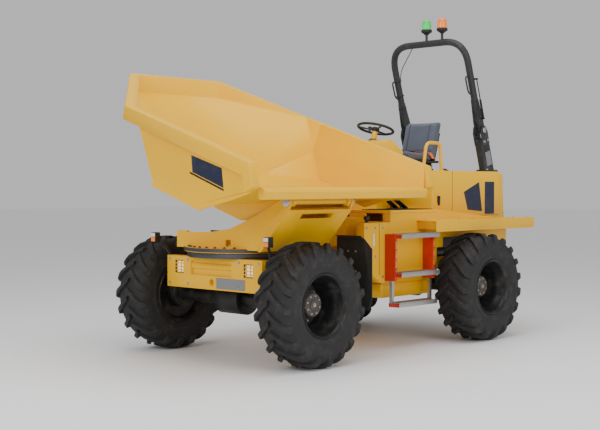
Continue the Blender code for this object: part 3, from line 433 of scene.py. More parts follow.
FINISHES = {
    "yellow_paint": YELLOW,
    "red_paint": RED,
    "charcoal_paint": CHARCOAL,
    "black_paint": BLACK,
    "dark_steel": DARK_STEEL,
    "tyre_rubber": TYRE,
    "black_rubber": RUBBER,
    "chromed_rod": CHROME,
    "seat_cover": SEAT,
    "black_plastic": PLASTIC,
    "green_lens": GREEN_LENS,
    "amber_lens": AMBER_LENS,
}


def finish_fixed_parts():
    """Paints every fixed part and rounds its edges."""
    for row in frame["record"]["subparts"]:
        part = frame["nodes"][row["node"]]
        part.data.materials.clear()
        part.data.materials.append(FINISHES[row["material_slot"]])
        for face in part.data.polygons:
            face.use_smooth = True
        joined = part.modifiers.new("joined_corners", "WELD")
        joined.merge_threshold = 0.0002
        soften(part, 0.0035)
    for name in ("skip_floor", "skip_rear", "skip_side_left", "skip_side_right"):
        frame["nodes"][name].data.materials[0] = INSIDE_YELLOW


# Wheels


def tyre_lug(shape, centre, turn, side, lean):
    """One tread bar, from the middle of the tread over the shoulder."""
    stations = [(-0.02, -0.004, 0.545, 0.040), (0.05, 0.045, 0.545, 0.042), (0.13, 0.095, 0.544, 0.046),
                (0.20, 0.140, 0.540, 0.052), (0.25, 0.174, 0.524, 0.056), (0.275, 0.195, 0.490, 0.056),
                (0.285, 0.198, 0.452, 0.046)]
    loops = []
    for index, (angle, across, radius, width) in enumerate(stations):
        swept = turn + lean * angle
        half = width / 2 / radius
        sink = 0.034 if index < 5 else 0.022
        low = radius - sink
        low_across = across if index < 4 else across - 0.022
        corners = ((radius, across, -half), (radius, across, half), (low, low_across, half * 1.35),
                   (low, low_across, -half * 1.35))
        loops.append([centre + Vector((r * sin(swept + a), side * y, r * cos(swept + a))) for r, y,
                      a in corners])
    shape.loft(loops)


def wheel_pieces():
    """Treaded tyres on deep-dished rims with bolted hubs."""
    sidewall = [(0.268, 0.158), (0.292, 0.174), (0.330, 0.184), (0.336, 0.187), (0.342, 0.184),
                (0.385, 0.1895),
                (0.430, 0.188), (0.462, 0.179), (0.486, 0.164), (0.503, 0.140), (0.512, 0.105), (0.516,
                        0.05)]
    outline = sidewall + [(r, -y) for r, y in reversed(sidewall)]
    for name, (x, side) in WHEELS.items():
        centre = Vector((x, side * TRACK / 2, TYRE_RADIUS))
        out = Y * side
        body = name + "_wheel"
        tyre = Shape().turned([(0.262, -0.150)] + list(reversed(outline)) + [(0.262, 0.150)], centre, out,
                              96)
        carcass = tyre.piece(name + "_tyre_carcass", body, TYRE, "tyre_rubber")
        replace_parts(carcass, name + "_tyre")
        tread = Shape()
        for i in range(LUG_COUNT):
            turn = 2 * pi * i / LUG_COUNT
            tyre_lug(tread, centre, turn, side, 1)
            tyre_lug(tread, centre, turn + pi / LUG_COUNT, -side, 1)
        tread.piece(name + "_tread_bars", body, TYRE, "tyre_rubber", 0.004)

        disc = -0.105
        rim = [(0.272, -0.150), (0.284, -0.166), (0.276, -0.178), (0.258, -0.172), (0.246, -0.150),
               (0.236, -0.12),
               (0.222, disc - 0.012), (0.030, disc - 0.012), (0.030, disc), (0.150, disc), (0.160,
                       disc + 0.004),
               (0.192, disc + 0.012), (0.208, disc + 0.035), (0.214, 0.04), (0.228, 0.085), (0.242, 0.105),
               (0.250, 0.140), (0.262, 0.168), (0.278, 0.178), (0.284, 0.170), (0.272, 0.150)]
        dish = Shape().turned(rim, centre, out, 96)
        dished = dish.piece(name + "_dished_rim", body, BLACK, "black_paint", 0.002)
        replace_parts(dished, name + "_rim")
        face = disc
        hub = [(0.001, face), (0.128, face), (0.128, face + 0.030), (0.122, face + 0.036),
               (0.116, face + 0.085),
               (0.108, face + 0.094), (0.106, face + 0.130), (0.098, face + 0.140), (0.050, face + 0.144),
               (0.046, face + 0.152), (0.001, face + 0.154)]
        cap = Shape().turned(hub, centre, out, 64)
        cap.piece(name + "_hub_drum", body, HUB_BROWN, "black_paint", 0.002)
        nuts = Shape()
        nuts.bolts(round_of(centre + out * (face + 0.004), 0.155, 10, X, Z), out, 0.013, 0.026)
        nuts.bolts(round_of(centre + out * (face + 0.139), 0.078, 8, X, Z, 0.3), out, 0.007, 0.008)
        nuts.bolts([centre + out * (face + 0.152)], out, 0.012, 0.010)
        nuts.tube([centre + X * 0.226 + out * 0.06, centre + X * 0.205 + out * 0.09,
                   centre + X * 0.195 + out * 0.12], 0.005)
        nuts.piece(name + "_wheel_nuts", body, ZINC, "dark_steel", 0.001)


# Skip and the swivel frame that carries it


def skip_trim():
    """Blank side plates, weld beads and pivot caps on the skip."""
    for name, side in (("right", -1), ("left", 1)):
        plate = [(-0.544, 0.228), (-0.156, 0.239), (-0.094, 0.090), (-0.494, 0.096)]
        line = [(-0.528, 0.090), (-0.088, 0.082), (-0.084, 0.066), (-0.522, 0.074)]
        for label, outline, coat in (("plate", plate, NAVY), ("underline", line, BLACK)):
            loops = [[(x, side * (skip_side(z) + lift), z) for x, z in outline] for lift in (0.0004, 0.002)]
            shape = Shape(SKIP).loft(loops)
            shape.piece("skip_" + name + "_blank_" + label, "skip", coat, "yellow_paint", smooth=False)

    beads = Shape(SKIP)
    foot_rear, foot_side, foot_ramp = (-1.15, 0.49, -0.127), (-0.985, 1.056, -0.127), (-0.36, 1.056, -0.127)
    lip, corner, back = (0.265, 1.078, 0.222), (-1.373, 1.081, 0.384), (-2.093, 0.500, 0.380)
    runs = ((foot_rear, foot_side), (foot_side, foot_ramp, lip), (corner, foot_side), (corner, foot_rear),
            (back, foot_rear))
    for side in (1, -1):
        for run in runs:
            beads.tube([(x, side * y, z) for x, y, z in run], WELD_BEAD, sides=8)
    beads.tube([(-1.15, -0.49, -0.127), (-1.15, 0.49, -0.127)], WELD_BEAD, sides=8)
    beads.tube([(-0.36, -1.05, -0.127), (-0.36, 1.05, -0.127)], WELD_BEAD - 0.001, sides=8)
    beads.piece("skip_weld_beads", "skip", INSIDE_YELLOW, "yellow_paint")

    caps = Shape(SKIP)
    for side in (1, -1):
        end = Y * side
        caps.turned([(0.001, 0.0), (0.043, 0.0), (0.043, 0.010), (0.036, 0.014), (0.001, 0.014)],
                    end * 0.4185, end, 36)
        caps.bolts([end * 0.432 + X * 0.02, end * 0.432 - X * 0.02], end, 0.007, 0.007)
    caps.piece("skip_pivot_caps", "skip", ZINC, "dark_steel", 0.0015)


def skip_side(z):
    """How far the skip's side wall stands from its middle at a height."""
    return 1.18 - 0.08 - 0.0003 - 0.03 * (0.404 - z) / (0.404 + 0.141)


def swivel_trim():
    """Ring bolts, lamp, ram pin keepers and the hoses of the tip ram."""
    bolts = Shape(SWIVEL)
    places = [p for p in round_of((0, 0, SLEW_TOP), 0.545, 36, X, Y,
                                  0.06) if not (abs(p.y) < 0.44 and p.x > 0.40)]
    bolts.bolts(places, Z, 0.011, 0.014)
    bolts.piece("slew_clamp_bolts", "swivel", DARK_STEEL, "dark_steel", 0.001)

    rim = Shape(SWIVEL)
    rim.turned([(0.586, 0.0), (0.592, 0.003), (0.592, 0.030), (0.586, 0.034)], (0, 0, 0.981), Z, 96)
    rim.piece("slew_disc_edge", "swivel", DARK_STEEL, "dark_steel", 0.001)

    lamp = Shape(SWIVEL).box((0.661, -0.075, 1.085), (0.668, 0.035, 1.145))
    lamp.piece("swivel_work_lamp_glass", "swivel", CLEAR_LENS, "black_plastic", 0.002)

    keepers = Shape(SWIVEL)
    for side in (1, -1):
        keepers.box((0.50, side * 0.082 - 0.004, 1.070), (0.545, side * 0.082 + 0.004, 1.100))
        keepers.bolts([(0.51, side * 0.086, 1.085)], Y * side, 0.006, 0.006)
    keepers.piece("ram_pin_keepers", "swivel", ZINC, "dark_steel", 0.001)

    hoses = Shape(SWIVEL)
    for side in (1, -1):
        hoses.tube([(0.04, side * 0.05, SLEW_TOP), (0.04, side * 0.05, 1.10), (0.20, side * 0.11, 1.13),
                    (0.40, side * 0.13, 1.08), (0.46, side * 0.10, 1.10)], 0.011, 0.06)
    hoses.piece("tip_ram_feed_hoses", "swivel", HOSE, "black_rubber")
    joint = Shape(SWIVEL).turned([(0.001, 0), (0.10, 0), (0.10, 0.02), (0.07, 0.035), (0.07, 0.07),
                                  (0.001, 0.07)],
                                 (0, 0, SLEW_TOP + 0.0005), Z, 48)
    joint.piece("hydraulic_swivel_joint", "swivel", DARK_STEEL, "dark_steel", 0.002)


def ram_trim(name, base, eye, closed, radius, rod_radius):
    """Gland and hose unions of a ram. Base and eye are its two pin centres in world space."""
    line = (eye - base).normalized()
    side = line.orthogonal().normalized()
    fit = Shape(Matrix.Identity(4))
    bore, collar, nose = rod_radius + 0.002, radius * 1.03, radius * 0.8
    fit.turned([(bore, 0), (collar, 0), (collar, 0.022), (nose, 0.034), (nose, 0.062), (bore, 0.062)],
               base + line * (closed - 0.055), line, 36)
    for along in (0.10, closed - 0.12):
        foot = base + line * along
        fit.bar(foot + side * (radius - 0.004), foot + side * (radius + 0.022), 0.012, 20)
        fit.bar(foot + side * (radius + 0.010), foot + side * (radius + 0.020), 0.016, 6)
    fit.piece(name + "_gland_and_ports", name + "_barrel", BLACK, "black_paint", 0.001)


# Front chassis


def front_trim():
    """Headlights, marker lamps, bolts, tow pin, blank plate and flap edges of the front chassis."""
    face = FRONT_FACE
    lamps = Shape()
    bezels = Shape()
    guards = Shape()
    for y in (-0.46, 0.46):
        lamps.box((face - 0.034, y - 0.052, 0.773), (face - 0.016, y + 0.052, 0.877))
        for a, b, c, d in ((-0.0596, -0.0520, 0.7654, 0.8846), (0.0520, 0.0596, 0.7654, 0.8846),
                           (-0.0520, 0.0520, 0.7654, 0.7730), (-0.0520, 0.0520, 0.8770, 0.8846)):
            bezels.box((face - 0.040, y + a, c), (face - 0.006, y + b, d))
        for i in range(3):
            z = 0.794 + 0.031 * i
            guards.box((face - 0.010, y - 0.0596, z - 0.0035), (face + 0.004, y + 0.0596, z + 0.0035))
        for shift in (-0.026, 0.026):
            guards.box((face - 0.008, y + shift - 0.003, 0.7654), (face + 0.002, y + shift + 0.003, 0.8846))
    lamps.piece("headlight_glasses", "front_chassis", HEADLIGHT, "black_plastic", 0.004)
    bezels.piece("headlight_bezels", "front_chassis", PLASTIC, "black_plastic", 0.001)
    guards.piece("headlight_guards", "front_chassis", YELLOW, "yellow_paint", 0.001)

    bolts = Shape()
    bolts.bolts([(face, y, z) for y in (-0.59, 0.59, -0.34, 0.34) for z in (0.67, 0.895)], X, 0.010, 0.010)
    bolts.bolts([(x, side * 0.34, 0.83) for side in (1, -1) for x in (0.80, 0.95, 1.35)], Y, 0.009, 0.010)
    for side in (1, -1):
        bolts.bolts([(1.486, side * 0.6603, z) for z in (0.77, 0.82)], Y * side, 0.008, 0.008)
        bolts.bolts([(0.643, side * y, z) for y in (0.73, 0.82, 0.91) for z in (0.80, 0.98)], X, 0.007,
                    0.007)
    bolts.piece("front_chassis_bolts", "front_chassis", ZINC, "dark_steel", 0.001)

    pin = Shape()
    pin.bar((face - 0.045, -0.02, 0.645), (face - 0.045, -0.02, 0.99), 0.013)
    pin.tube([(face - 0.045, -0.02, 0.985), (face - 0.02, -0.02, 1.01), (face - 0.02, 0.03, 1.01),
              (face - 0.045, 0.04, 0.985)], 0.006, 0.02)
    pin.piece("tow_pin", "front_chassis", ZINC, "dark_steel", 0.001)

    plate = Shape().box((face + 0.0005, 0.05, 0.648), (face + 0.004, 0.42, 0.745))
    plate.piece("front_blank_plate", "front_chassis", GREY_PLATE, "yellow_paint", 0.001)

    for name, side in (("left", 1), ("right", -1)):
        glass = Shape()
        glass.box((1.6305, side * 0.75 - 0.027, 1.093), (1.638, side * 0.75 + 0.027, 1.130))
        glass.piece("marker_clear_glass_" + name, "front_chassis", CLEAR_LENS, "black_plastic", 0.003)
        amber = Shape().box((1.6305, side * 0.75 - 0.027, 1.050), (1.638, side * 0.75 + 0.027, 1.089))
        amber.piece("marker_amber_glass_" + name, "front_chassis", AMBER_LENS, "amber_lens", 0.003)
        wire = Shape().tube([(1.565, side * 0.735, 1.07), (1.54, side * 0.70, 1.03),
                             (1.50, side * 0.665, 0.96),
                             (1.47, side * 0.650, 0.91)], 0.004, 0.03, 8)
        wire.piece("marker_wire_" + name, "front_chassis", HOSE, "black_rubber")
        edge = Shape()
        edge.tube([(0.639, side * 0.69, 1.097), (0.639, side * 1.0, 1.097), (0.639, side * 1.095, 1.005),
                   (0.639, side * 1.095, 0.565), (0.639, side * 1.055, 0.465), (0.639, side * 0.69, 0.465)],
                  0.006, 0.01, 8)
        edge.piece("mudflap_rolled_edge_" + name, "front_chassis", RUBBER, "black_rubber")

    grease = Shape()
    for place in ((1.0, 0.30, 0.9255), (1.25, -0.30, 0.9255), (0.60, 0.30, 0.9255)):
        grease.bar(place, Vector(place) + Z * 0.014, 0.005, 12, 0.003)
    grease.piece("grease_points", "front_chassis", ZINC, "dark_steel")


# Rear chassis


def hood_trim():
    """Seams, blank panels, latches and cap of the engine hood and the deck in front of it."""
    for side, label in ((1, "left"), (-1, "right")):
        y = side * HOOD_SIDE
        low, high = span(side, HOOD_SIDE, HOOD_SIDE + 0.0016)
        panel = Shape().prism([(-1.45, 1.510), (-1.73, 1.615), (-1.79, 1.300), (-1.52, 1.320)], 1, low,
                              high)
        panel.piece("hood_blank_panel_" + label, "rear_chassis", NAVY, "yellow_paint", smooth=False)
        strip = Shape().prism([(-1.84, 1.27), (-2.02, 1.27), (-2.02, 1.62), (-1.84, 1.62)], 1, low, high)
        strip.piece("hood_blank_strip_" + label, "rear_chassis", NAVY, "yellow_paint", smooth=False)
        latch = Shape().box((-1.02, y, 1.40), (-0.98, y + side * 0.012, 1.47))
        latch.bar((-1.0, y + side * 0.010, 1.455), (-1.0, y + side * 0.020, 1.455), 0.012, 20)
        latch.box((-1.010, y + side * 0.001, 1.372), (-0.990, y + side * 0.016, 1.402))
        latch.piece("hood_rubber_latch_" + label, "rear_chassis", RUBBER, "black_rubber", 0.002)
    seams = Shape()
    for side in (1, -1):
        low, high = span(side, HOOD_SIDE - 0.0001, HOOD_SIDE + 0.0010)
        seams.box((-1.245, low, 1.300), (-1.240, high, 1.728))
        seams.box((-2.10, low, 1.2565), (-1.75, high, 1.2600))
    seams.box((-1.245, -0.618, 1.7301), (-1.240, 0.618, 1.7312))
    seams.piece("hood_panel_seams", "rear_chassis", BLACK, "black_paint", smooth=False)

    cap = Shape()
    cap.turned([(0.001, 0), (0.050, 0), (0.050, 0.018), (0.044, 0.026), (0.001, 0.028)],
               (-1.95, 0.0, HOOD_TOP), Z, 40)
    cap.box((-1.990, -0.007, 1.756), (-1.910, 0.007, 1.768))
    cap.piece("radiator_cap", "rear_chassis", PLASTIC, "black_plastic", 0.002)
    handle = Shape().tube([(-1.45, -0.30, 1.729), (-1.45, -0.30, 1.765), (-1.45, -0.44, 1.765),
                           (-1.45, -0.44, 1.729)],
                          0.007, 0.02)
    handle.piece("hood_grab_handle", "rear_chassis", BLACK, "black_paint")


def tank_trim():
    """Caps, sight glass, seams and bolts on the side tanks."""
    for side, label in ((1, "left"), (-1, "right")):
        y = side * TANK_SIDE
        low, high = span(side, TANK_SIDE, TANK_SIDE + 0.0014)
        seam = Shape()
        seam.box((0.05, low, 0.72), (0.054, high, 1.215))
        seam.box((-0.12, low, TANK_TOP - 0.0032), (0.272, high, TANK_TOP))
        seam.piece("tank_seam_" + label, "rear_chassis", BLACK, "black_paint", smooth=False)
        bolts = Shape()
        places = ((0.11, 0.90), (0.11, 1.17), (0.235, 0.90), (0.235, 1.17), (0.0, 0.70), (0.0, 1.17),
                  (-0.82, 1.06),
                  (-0.75, 1.06))
        bolts.bolts([(x, y, z) for x, z in places], Y * side, 0.009, 0.009)
        bolts.piece("tank_bolts_" + label, "rear_chassis", ZINC, "dark_steel", 0.001)
    cap = Shape().turned([(0.001, 0), (0.046, 0), (0.048, 0.006), (0.048, 0.030), (0.040, 0.036),
                          (0.001, 0.037)],
                         (-0.05, -0.60, TANK_TOP), Z, 40)
    cap.piece("fuel_filler_cap", "rear_chassis", PLASTIC, "black_plastic", 0.002)
    breather = Shape()
    breather.turned([(0.001, 0), (0.018, 0), (0.018, 0.02), (0.030, 0.024), (0.030, 0.052), (0.022, 0.060),
                     (0.001, 0.060)], (0.18, 0.65, TANK_TOP), Z, 32)
    breather.piece("tank_breather", "rear_chassis", PLASTIC, "black_plastic", 0.001)
    # The sight glass is no lamp, so the clear lens's faint glow on it is a painted glow.
    glass = Shape().box((0.13, TANK_SIDE, 1.00), (0.15, 0.706, 1.12))
    glass.piece("tank_sight_glass_painted_glow", "rear_chassis", CLEAR_LENS, "black_plastic", 0.002)


def valve_trim():
    """Lever, hoses and unions at the front of the deck, by the articulation."""
    lever = Shape()
    lever.bar((0.125, 0.31, VALVE_TOP), (0.125, 0.31, 1.274), 0.026, 24, 0.020)
    lever.tube([(0.125, 0.31, 1.268), (0.130, 0.33, 1.284), (0.132, 0.37, 1.288)], 0.006, 0.02)
    lever.turned([(0.001, -0.018), (0.012, -0.014), (0.017, 0.0), (0.012, 0.014), (0.001, 0.018)],
                 (0.132, 0.372, 1.289),
                 (-0.4, 0.5, 0.6), 28)
    lever.piece("skip_lock_lever", "rear_chassis", BLACK, "black_paint")
    unions = Shape()
    for y in HOSE_ROW:
        unions.bar((0.2003, y, 1.10), (0.222, y, 1.10), 0.017, 6)
        unions.bar((0.222, y, 1.10), (0.238, y, 1.10), 0.013, 20)
    unions.piece("valve_port_unions", "rear_chassis", ZINC, "dark_steel", 0.001)
    for index, y in enumerate(HOSE_ROW):
        hose = Shape(Matrix.Identity(4))
        points = [MACHINE @ Vector(p) for p in ((0.236, y, 1.10), (0.30, y * 0.9, 1.09),
                                                (0.345, y * 0.75, 1.02),
                                                (0.352, y * 0.62, 0.955))]
        hose.tube(points, 0.012, 0.05)
        bent = hose.piece("articulation_hose_%d" % (index + 1), None, HOSE, "black_rubber")
        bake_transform(bent)
    clamp = Shape()
    clamp.box((0.335, -0.16, 0.905), (0.370, 0.09, 0.960))
    clamp.box((0.343, -0.03, 0.768), (0.362, 0.03, 0.910))
    clamp.piece("hose_clamp_bar", "centre_yoke", DARK_STEEL, "dark_steel", 0.002)


def fender_trim():
    """Rolled edges, bolts and tail lamps on the rear wings."""
    for side, label in ((1, "left"), (-1, "right")):
        edge = Shape().tube([(-0.528, side * 0.950, 1.127), (-2.302, side * 0.950, 1.127)], 0.006, sides=10)
        edge.piece("wing_rolled_edge_" + label, "rear_chassis", YELLOW, "yellow_paint")
        bolts = Shape().bolts([(x, side * y, WING_TOP) for x in (-0.62, -1.20, -1.85,
                -2.22) for y in (0.74, 0.90)], Z,
                              0.008, 0.008)
        bolts.piece("wing_bolts_" + label, "rear_chassis", ZINC, "dark_steel", 0.001)
        low, high = span(side, 0.745, 0.905)
        for name, coat, shift in (("stop_lamp", RED_LENS, -0.040), ("turn_lamp", AMBER_LENS, 0.040)):
            glass = Shape().turned([(0.001, 0), (0.032, 0), (0.032, 0.010), (0.026, 0.014), (0.001, 0.015)],
                                   (WING_END, (low + high) / 2 + shift, 1.172), -X, 36)
            glass.piece(name + "_" + label, "rear_chassis", coat, "amber_lens")
        back = Shape().box((WING_END + 0.0003, low - 0.004, 1.130), (-2.294, high + 0.004, 1.2225))
        back.piece("lamp_backplate_" + label, "rear_chassis", PLASTIC, "black_plastic", 0.001)


def door_trim():
    """Black sheets painted as the shade in the louvre throats, hinges, latch and blank plate of the rear
    door.
    """
    shade_sheets, slats = Shape(), Shape()
    half = 0.4495
    for i in range(LOUVRE_COUNT):
        z = 1.20 + 0.075 * i
        x = -2.196 + 0.004 * i
        # A thin black sheet behind each slat: painted shade in the gap between the slats.
        shade_sheets.box((-2.177, -half, z + 0.0005), (-2.1752, half, z + 0.0345))
        slats.loft([[(x - 0.004, y, z + 0.020), (x, y, z + 0.0225), (x + 0.018, y, z + 0.006),
                     (x + 0.014, y, z + 0.0035)] for y in (-half, half)])
    shade_sheets.piece("louvre_painted_shade_sheets", "rear_door", BLACK, "black_paint", smooth=False)
    slats.piece("louvre_slats", "rear_door", YELLOW, "yellow_paint", smooth=False)
    hinges = Shape()
    for z in (1.22, 1.60):
        x = -2.222 + (z - 1.115) * 0.05
        hinges.bar((x, 0.6105, z), (x, 0.6105, z + 0.07), 0.007)
    hinges.piece("door_hinge_barrels", "rear_door", ZINC, "dark_steel", 0.001)
    latch = Shape()
    latch.turned([(0.001, 0), (0.020, 0), (0.020, 0.006), (0.001, 0.007)], (-2.2258, -0.54, 1.43), -X, 32)
    latch.prism([(-0.548, 1.38), (-0.532, 1.38), (-0.528, 1.46), (-0.552, 1.46)], 0, -2.240, -2.231)
    latch.piece("door_latch", "rear_door", BLACK, "black_paint", 0.001)

    tail = Shape()
    for y in (-0.055, 0.055):
        tail.prism([(REAR_FACE, 0.74), (REAR_FACE, 0.88), (-2.250, 0.85), (-2.250, 0.77)], 1, y - 0.008,
                   y + 0.008)
    tail.bar((-2.226, -0.0655, 0.81), (-2.226, 0.0655, 0.81), 0.013)
    tail.bolts([(REAR_FACE, y, z) for y in (-0.50, -0.35, 0.35, 0.50) for z in (0.68, 1.03)], -X, 0.012,
               0.012)
    tail.piece("rear_hitch_bracket", "rear_chassis", BLACK, "black_paint", 0.0015)
    plate = Shape().box((-2.2045, -0.26, 0.94), (REAR_FACE, 0.26, 1.05))
    plate.piece("rear_blank_plate", "rear_chassis", GREY_PLATE, "yellow_paint", 0.001)
    pipe = Shape()
    pipe.tube([(-2.02, -0.40, 1.729), (-2.02, -0.40, 1.93), (-2.06, -0.40, 1.975), (-2.12, -0.40, 1.985)],
              0.026, 0.05, 28)
    pipe.turned([(0.026, 0), (0.044, 0), (0.044, 0.006), (0.026, 0.008)], (-2.02, -0.40, 1.7303), Z, 36)
    pipe.piece("exhaust_tail_pipe", "rear_chassis", DARK_STEEL, "dark_steel", 0.001)


def step_trim():
    """Serrated bright treads and orange slots on the side steps."""
    for side, label in ((1, "left"), (-1, "right")):
        treads = Shape()
        for level, near, far in ((1.105, 0.772, 0.898), (0.735, 0.772, 0.898), (0.445, 0.742, 0.868)):
            for y in (near, (near + far) / 2 - 0.002, far - 0.004):
                low, high = span(side, y, y + 0.004)
                teeth = [(-0.645, level + 0.0004)]
                for i in range(40):
                    x = -0.645 + i * 0.015
                    teeth += [(x + 0.002, level + 0.011), (x + 0.010, level + 0.011),
                              (x + 0.013, level + 0.004)]
                teeth += [(-0.045, level + 0.004), (-0.045, level + 0.0004)]
                treads.prism(teeth, 1, low, high)
            low, high = span(side, near, far)
            for i in range(13):
                x = -0.640 + i * 0.049
                treads.box((x, low, level + 0.0006), (x + 0.004, high, level + 0.005))
        treads.piece("serrated_treads_" + label, "rear_chassis", ZINC, "dark_steel", smooth=False)
        bright = Shape()
        for level, far in ((1.070, 0.90), (0.700, 0.90), (0.410, 0.87)):
            low, high = span(side, far + 0.0003, far + 0.0014)
            bright.box((-0.648, low, level + 0.001), (-0.042, high, level + 0.034))
        for x in (-0.66, -0.06):
            low, high = span(side, 0.7592, 0.7908)
            bright.box((x - 0.0008, low, 0.446), (x + 0.0308, high, 0.659))
        bright.piece("bright_ladder_faces_" + label, "rear_chassis", ZINC, "dark_steel", smooth=False)
        marks = Shape()
        holes = Shape()
        low, high = span(side, LADDER_SIDE, LADDER_SIDE + 0.0016)
        for x0 in (-0.658, -0.058):
            for z in (0.79, 0.88, 0.97):
                marks.box((x0 + 0.005, low, z), (x0 + 0.023, high, z + 0.055))
            for z in (0.755, 0.860, 0.945, 1.035):
                holes.bolt((x0 + 0.014, side * LADDER_SIDE, z), Y * side, 0.006, 0.006)
        # These orange marks carry the reflector film's painted glow.
        marks.piece("step_orange_marks_painted_glow_" + label, "rear_chassis", REFLECTOR_PAINTED_GLOW, "red_paint", smooth=False)
        holes.piece("step_bolts_" + label, "rear_chassis", ZINC, "dark_steel", 0.0005)


# Driver's place


def stuffed(name, outline, half, coat):
    """A seat pad: a slightly small block blown up as cloth, then capped and smoothed."""
    pad = Shape().prism(outline, 1, -half, half)
    made = pad.piece(name, "rear_chassis", coat, "seat_cover")
    mesh_start = voxelled(made)
    inflate(made, mesh_start)
    smoother = made.modifiers.new("pad_smooth", "SUBSURF")
    smoother.levels = smoother.render_levels = 1
    apply_modifiers(made)
    made.data.shade_smooth()
    return made


def apply_modifiers(made):
    """Turns the piece's modifiers into plain mesh."""
    shape = bpy.data.meshes.new_from_object(made.evaluated_get(bpy.context.evaluated_depsgraph_get()))
    made.modifiers.clear()
    made.data = shape


def voxelled(made):
    """Rounds the pad's corners and gives it an even mesh. Returns where its points start."""
    soften(made, 0.022, 4, 30)
    remesh = made.modifiers.new("even_mesh", "REMESH")
    remesh.mode = "VOXEL"
    remesh.voxel_size = PAD_MESH
    apply_modifiers(made)
    return [vertex.co.copy() for vertex in made.data.vertices]


def inflate(made, mesh_start):
    """Blows the pad up as cloth, and holds each point within the stuffing's swell of its start."""
    cloth = made.modifiers.new("stuffing", "CLOTH")
    cloth.settings.use_pressure = True
    cloth.settings.uniform_pressure_force = STUFFING_PRESSURE
    cloth.settings.effector_weights.gravity = 0.0
    cloth.settings.quality = 5
    cloth.collision_settings.use_collision = False
    scene = bpy.context.scene
    for step in range(1, STUFFING_FRAMES + 1):
        scene.frame_set(step)
    apply_modifiers(made)
    scene.frame_set(1)
    for vertex, start in zip(made.data.vertices, mesh_start):
        moved = vertex.co - start
        if moved.length > PAD_SWELL:
            vertex.co = start + moved.normalized() * PAD_SWELL


def seat():
    """Padded cushion and back with sewn channels, belt, bellows and slide rails."""
    z = SEAT_FOOT
    cushion_line = [(-1.432, z + 0.006), (-1.010, z + 0.006), (-0.990, z + 0.045), (-1.008, z + 0.088),
                    (-1.200, z + 0.072), (-1.432, z + 0.068)]
    cushion = stuffed("seat_cushion_padded", cushion_line, 0.228, SEAT)
    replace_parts(cushion, "seat_cushion")
    back_line = [(-1.4455, z + 0.020), (-1.5035, z + 0.020), (-1.6195, z + 0.410), (-1.580, z + 0.428),
                 (-1.5150, z + 0.392), (-1.440, z + 0.12)]
    back = stuffed("seat_back_padded", back_line, 0.218, SEAT)
    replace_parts(back, "seat_back")
    piping = Shape()
    for side in (1, -1):
        y = side * 0.135
        piping.tube([(-1.425, y, z + 0.080), (-1.20, y, z + 0.0805), (-1.03, y, z + 0.0945),
                     (-0.990, y, z + 0.070)],
                    0.0035, 0.05, 8)
        piping.tube([(-1.440, y, z + 0.06), (-1.431, y, z + 0.13), (-1.508, y, z + 0.398)], 0.0035, 0.03, 8)
    piping.tube([(-0.985, -0.232, z + 0.045), (-0.983, 0.232, z + 0.045)], 0.0040, 0.02, 8)
    piping.piece("seat_sewn_piping", "rear_chassis", PIPING, "seat_cover")

    belt = Shape()
    loops = []
    for y, x, up in ((-0.245, -1.42, 0.020), (-0.236, -1.37, 0.080), (-0.17, -1.30, 0.0885),
                     (0.0, -1.26, 0.0875),
                     (0.17, -1.30, 0.0885), (0.236, -1.37, 0.080), (0.245, -1.42, 0.020)):
        loops.append([(x - 0.024, y, z + up), (x + 0.024, y, z + up + 0.001),
                      (x + 0.024, y, z + up + 0.0045),
                      (x - 0.024, y, z + up + 0.0035)])
    belt.loft(loops)
    belt.piece("lap_belt_webbing", "rear_chassis", WEBBING, "seat_cover", smooth=False)
    buckle = Shape().box((-1.300, 0.055, z + 0.0885), (-1.235, 0.105, z + 0.106))
    buckle.piece("lap_belt_buckle", "rear_chassis", PLASTIC, "black_plastic", 0.004)
    button = Shape().box((-1.285, 0.062, z + 0.1062), (-1.262, 0.098, z + 0.110))
    button.piece("lap_belt_release", "rear_chassis", RED, "red_paint", 0.001)

    folds = Shape()
    for i in range(5):
        low = 1.752 + 0.0135 * i
        folds.box((-1.508, -0.168, low), (-1.112, 0.168, low + 0.007))
    folds.piece("seat_bellows_folds", "rear_chassis", RUBBER, "black_rubber", 0.003)
    rails = Shape()
    for y in (-0.12, 0.12):
        rails.box((-1.54, y - 0.012, 1.8195), (-1.03, y + 0.012, 1.8265))
    rails.tube([(-1.10, 0.225, 1.835), (-1.04, 0.250, 1.835), (-0.99, 0.250, 1.832)], 0.006, 0.02)
    rails.turned([(0.001, -0.02), (0.011, -0.018), (0.011, 0.018), (0.001, 0.02)], (-0.985, 0.250, 1.832),
                 X, 20)
    rails.piece("seat_slide_and_lever", "rear_chassis", DARK_STEEL, "dark_steel", 0.001)


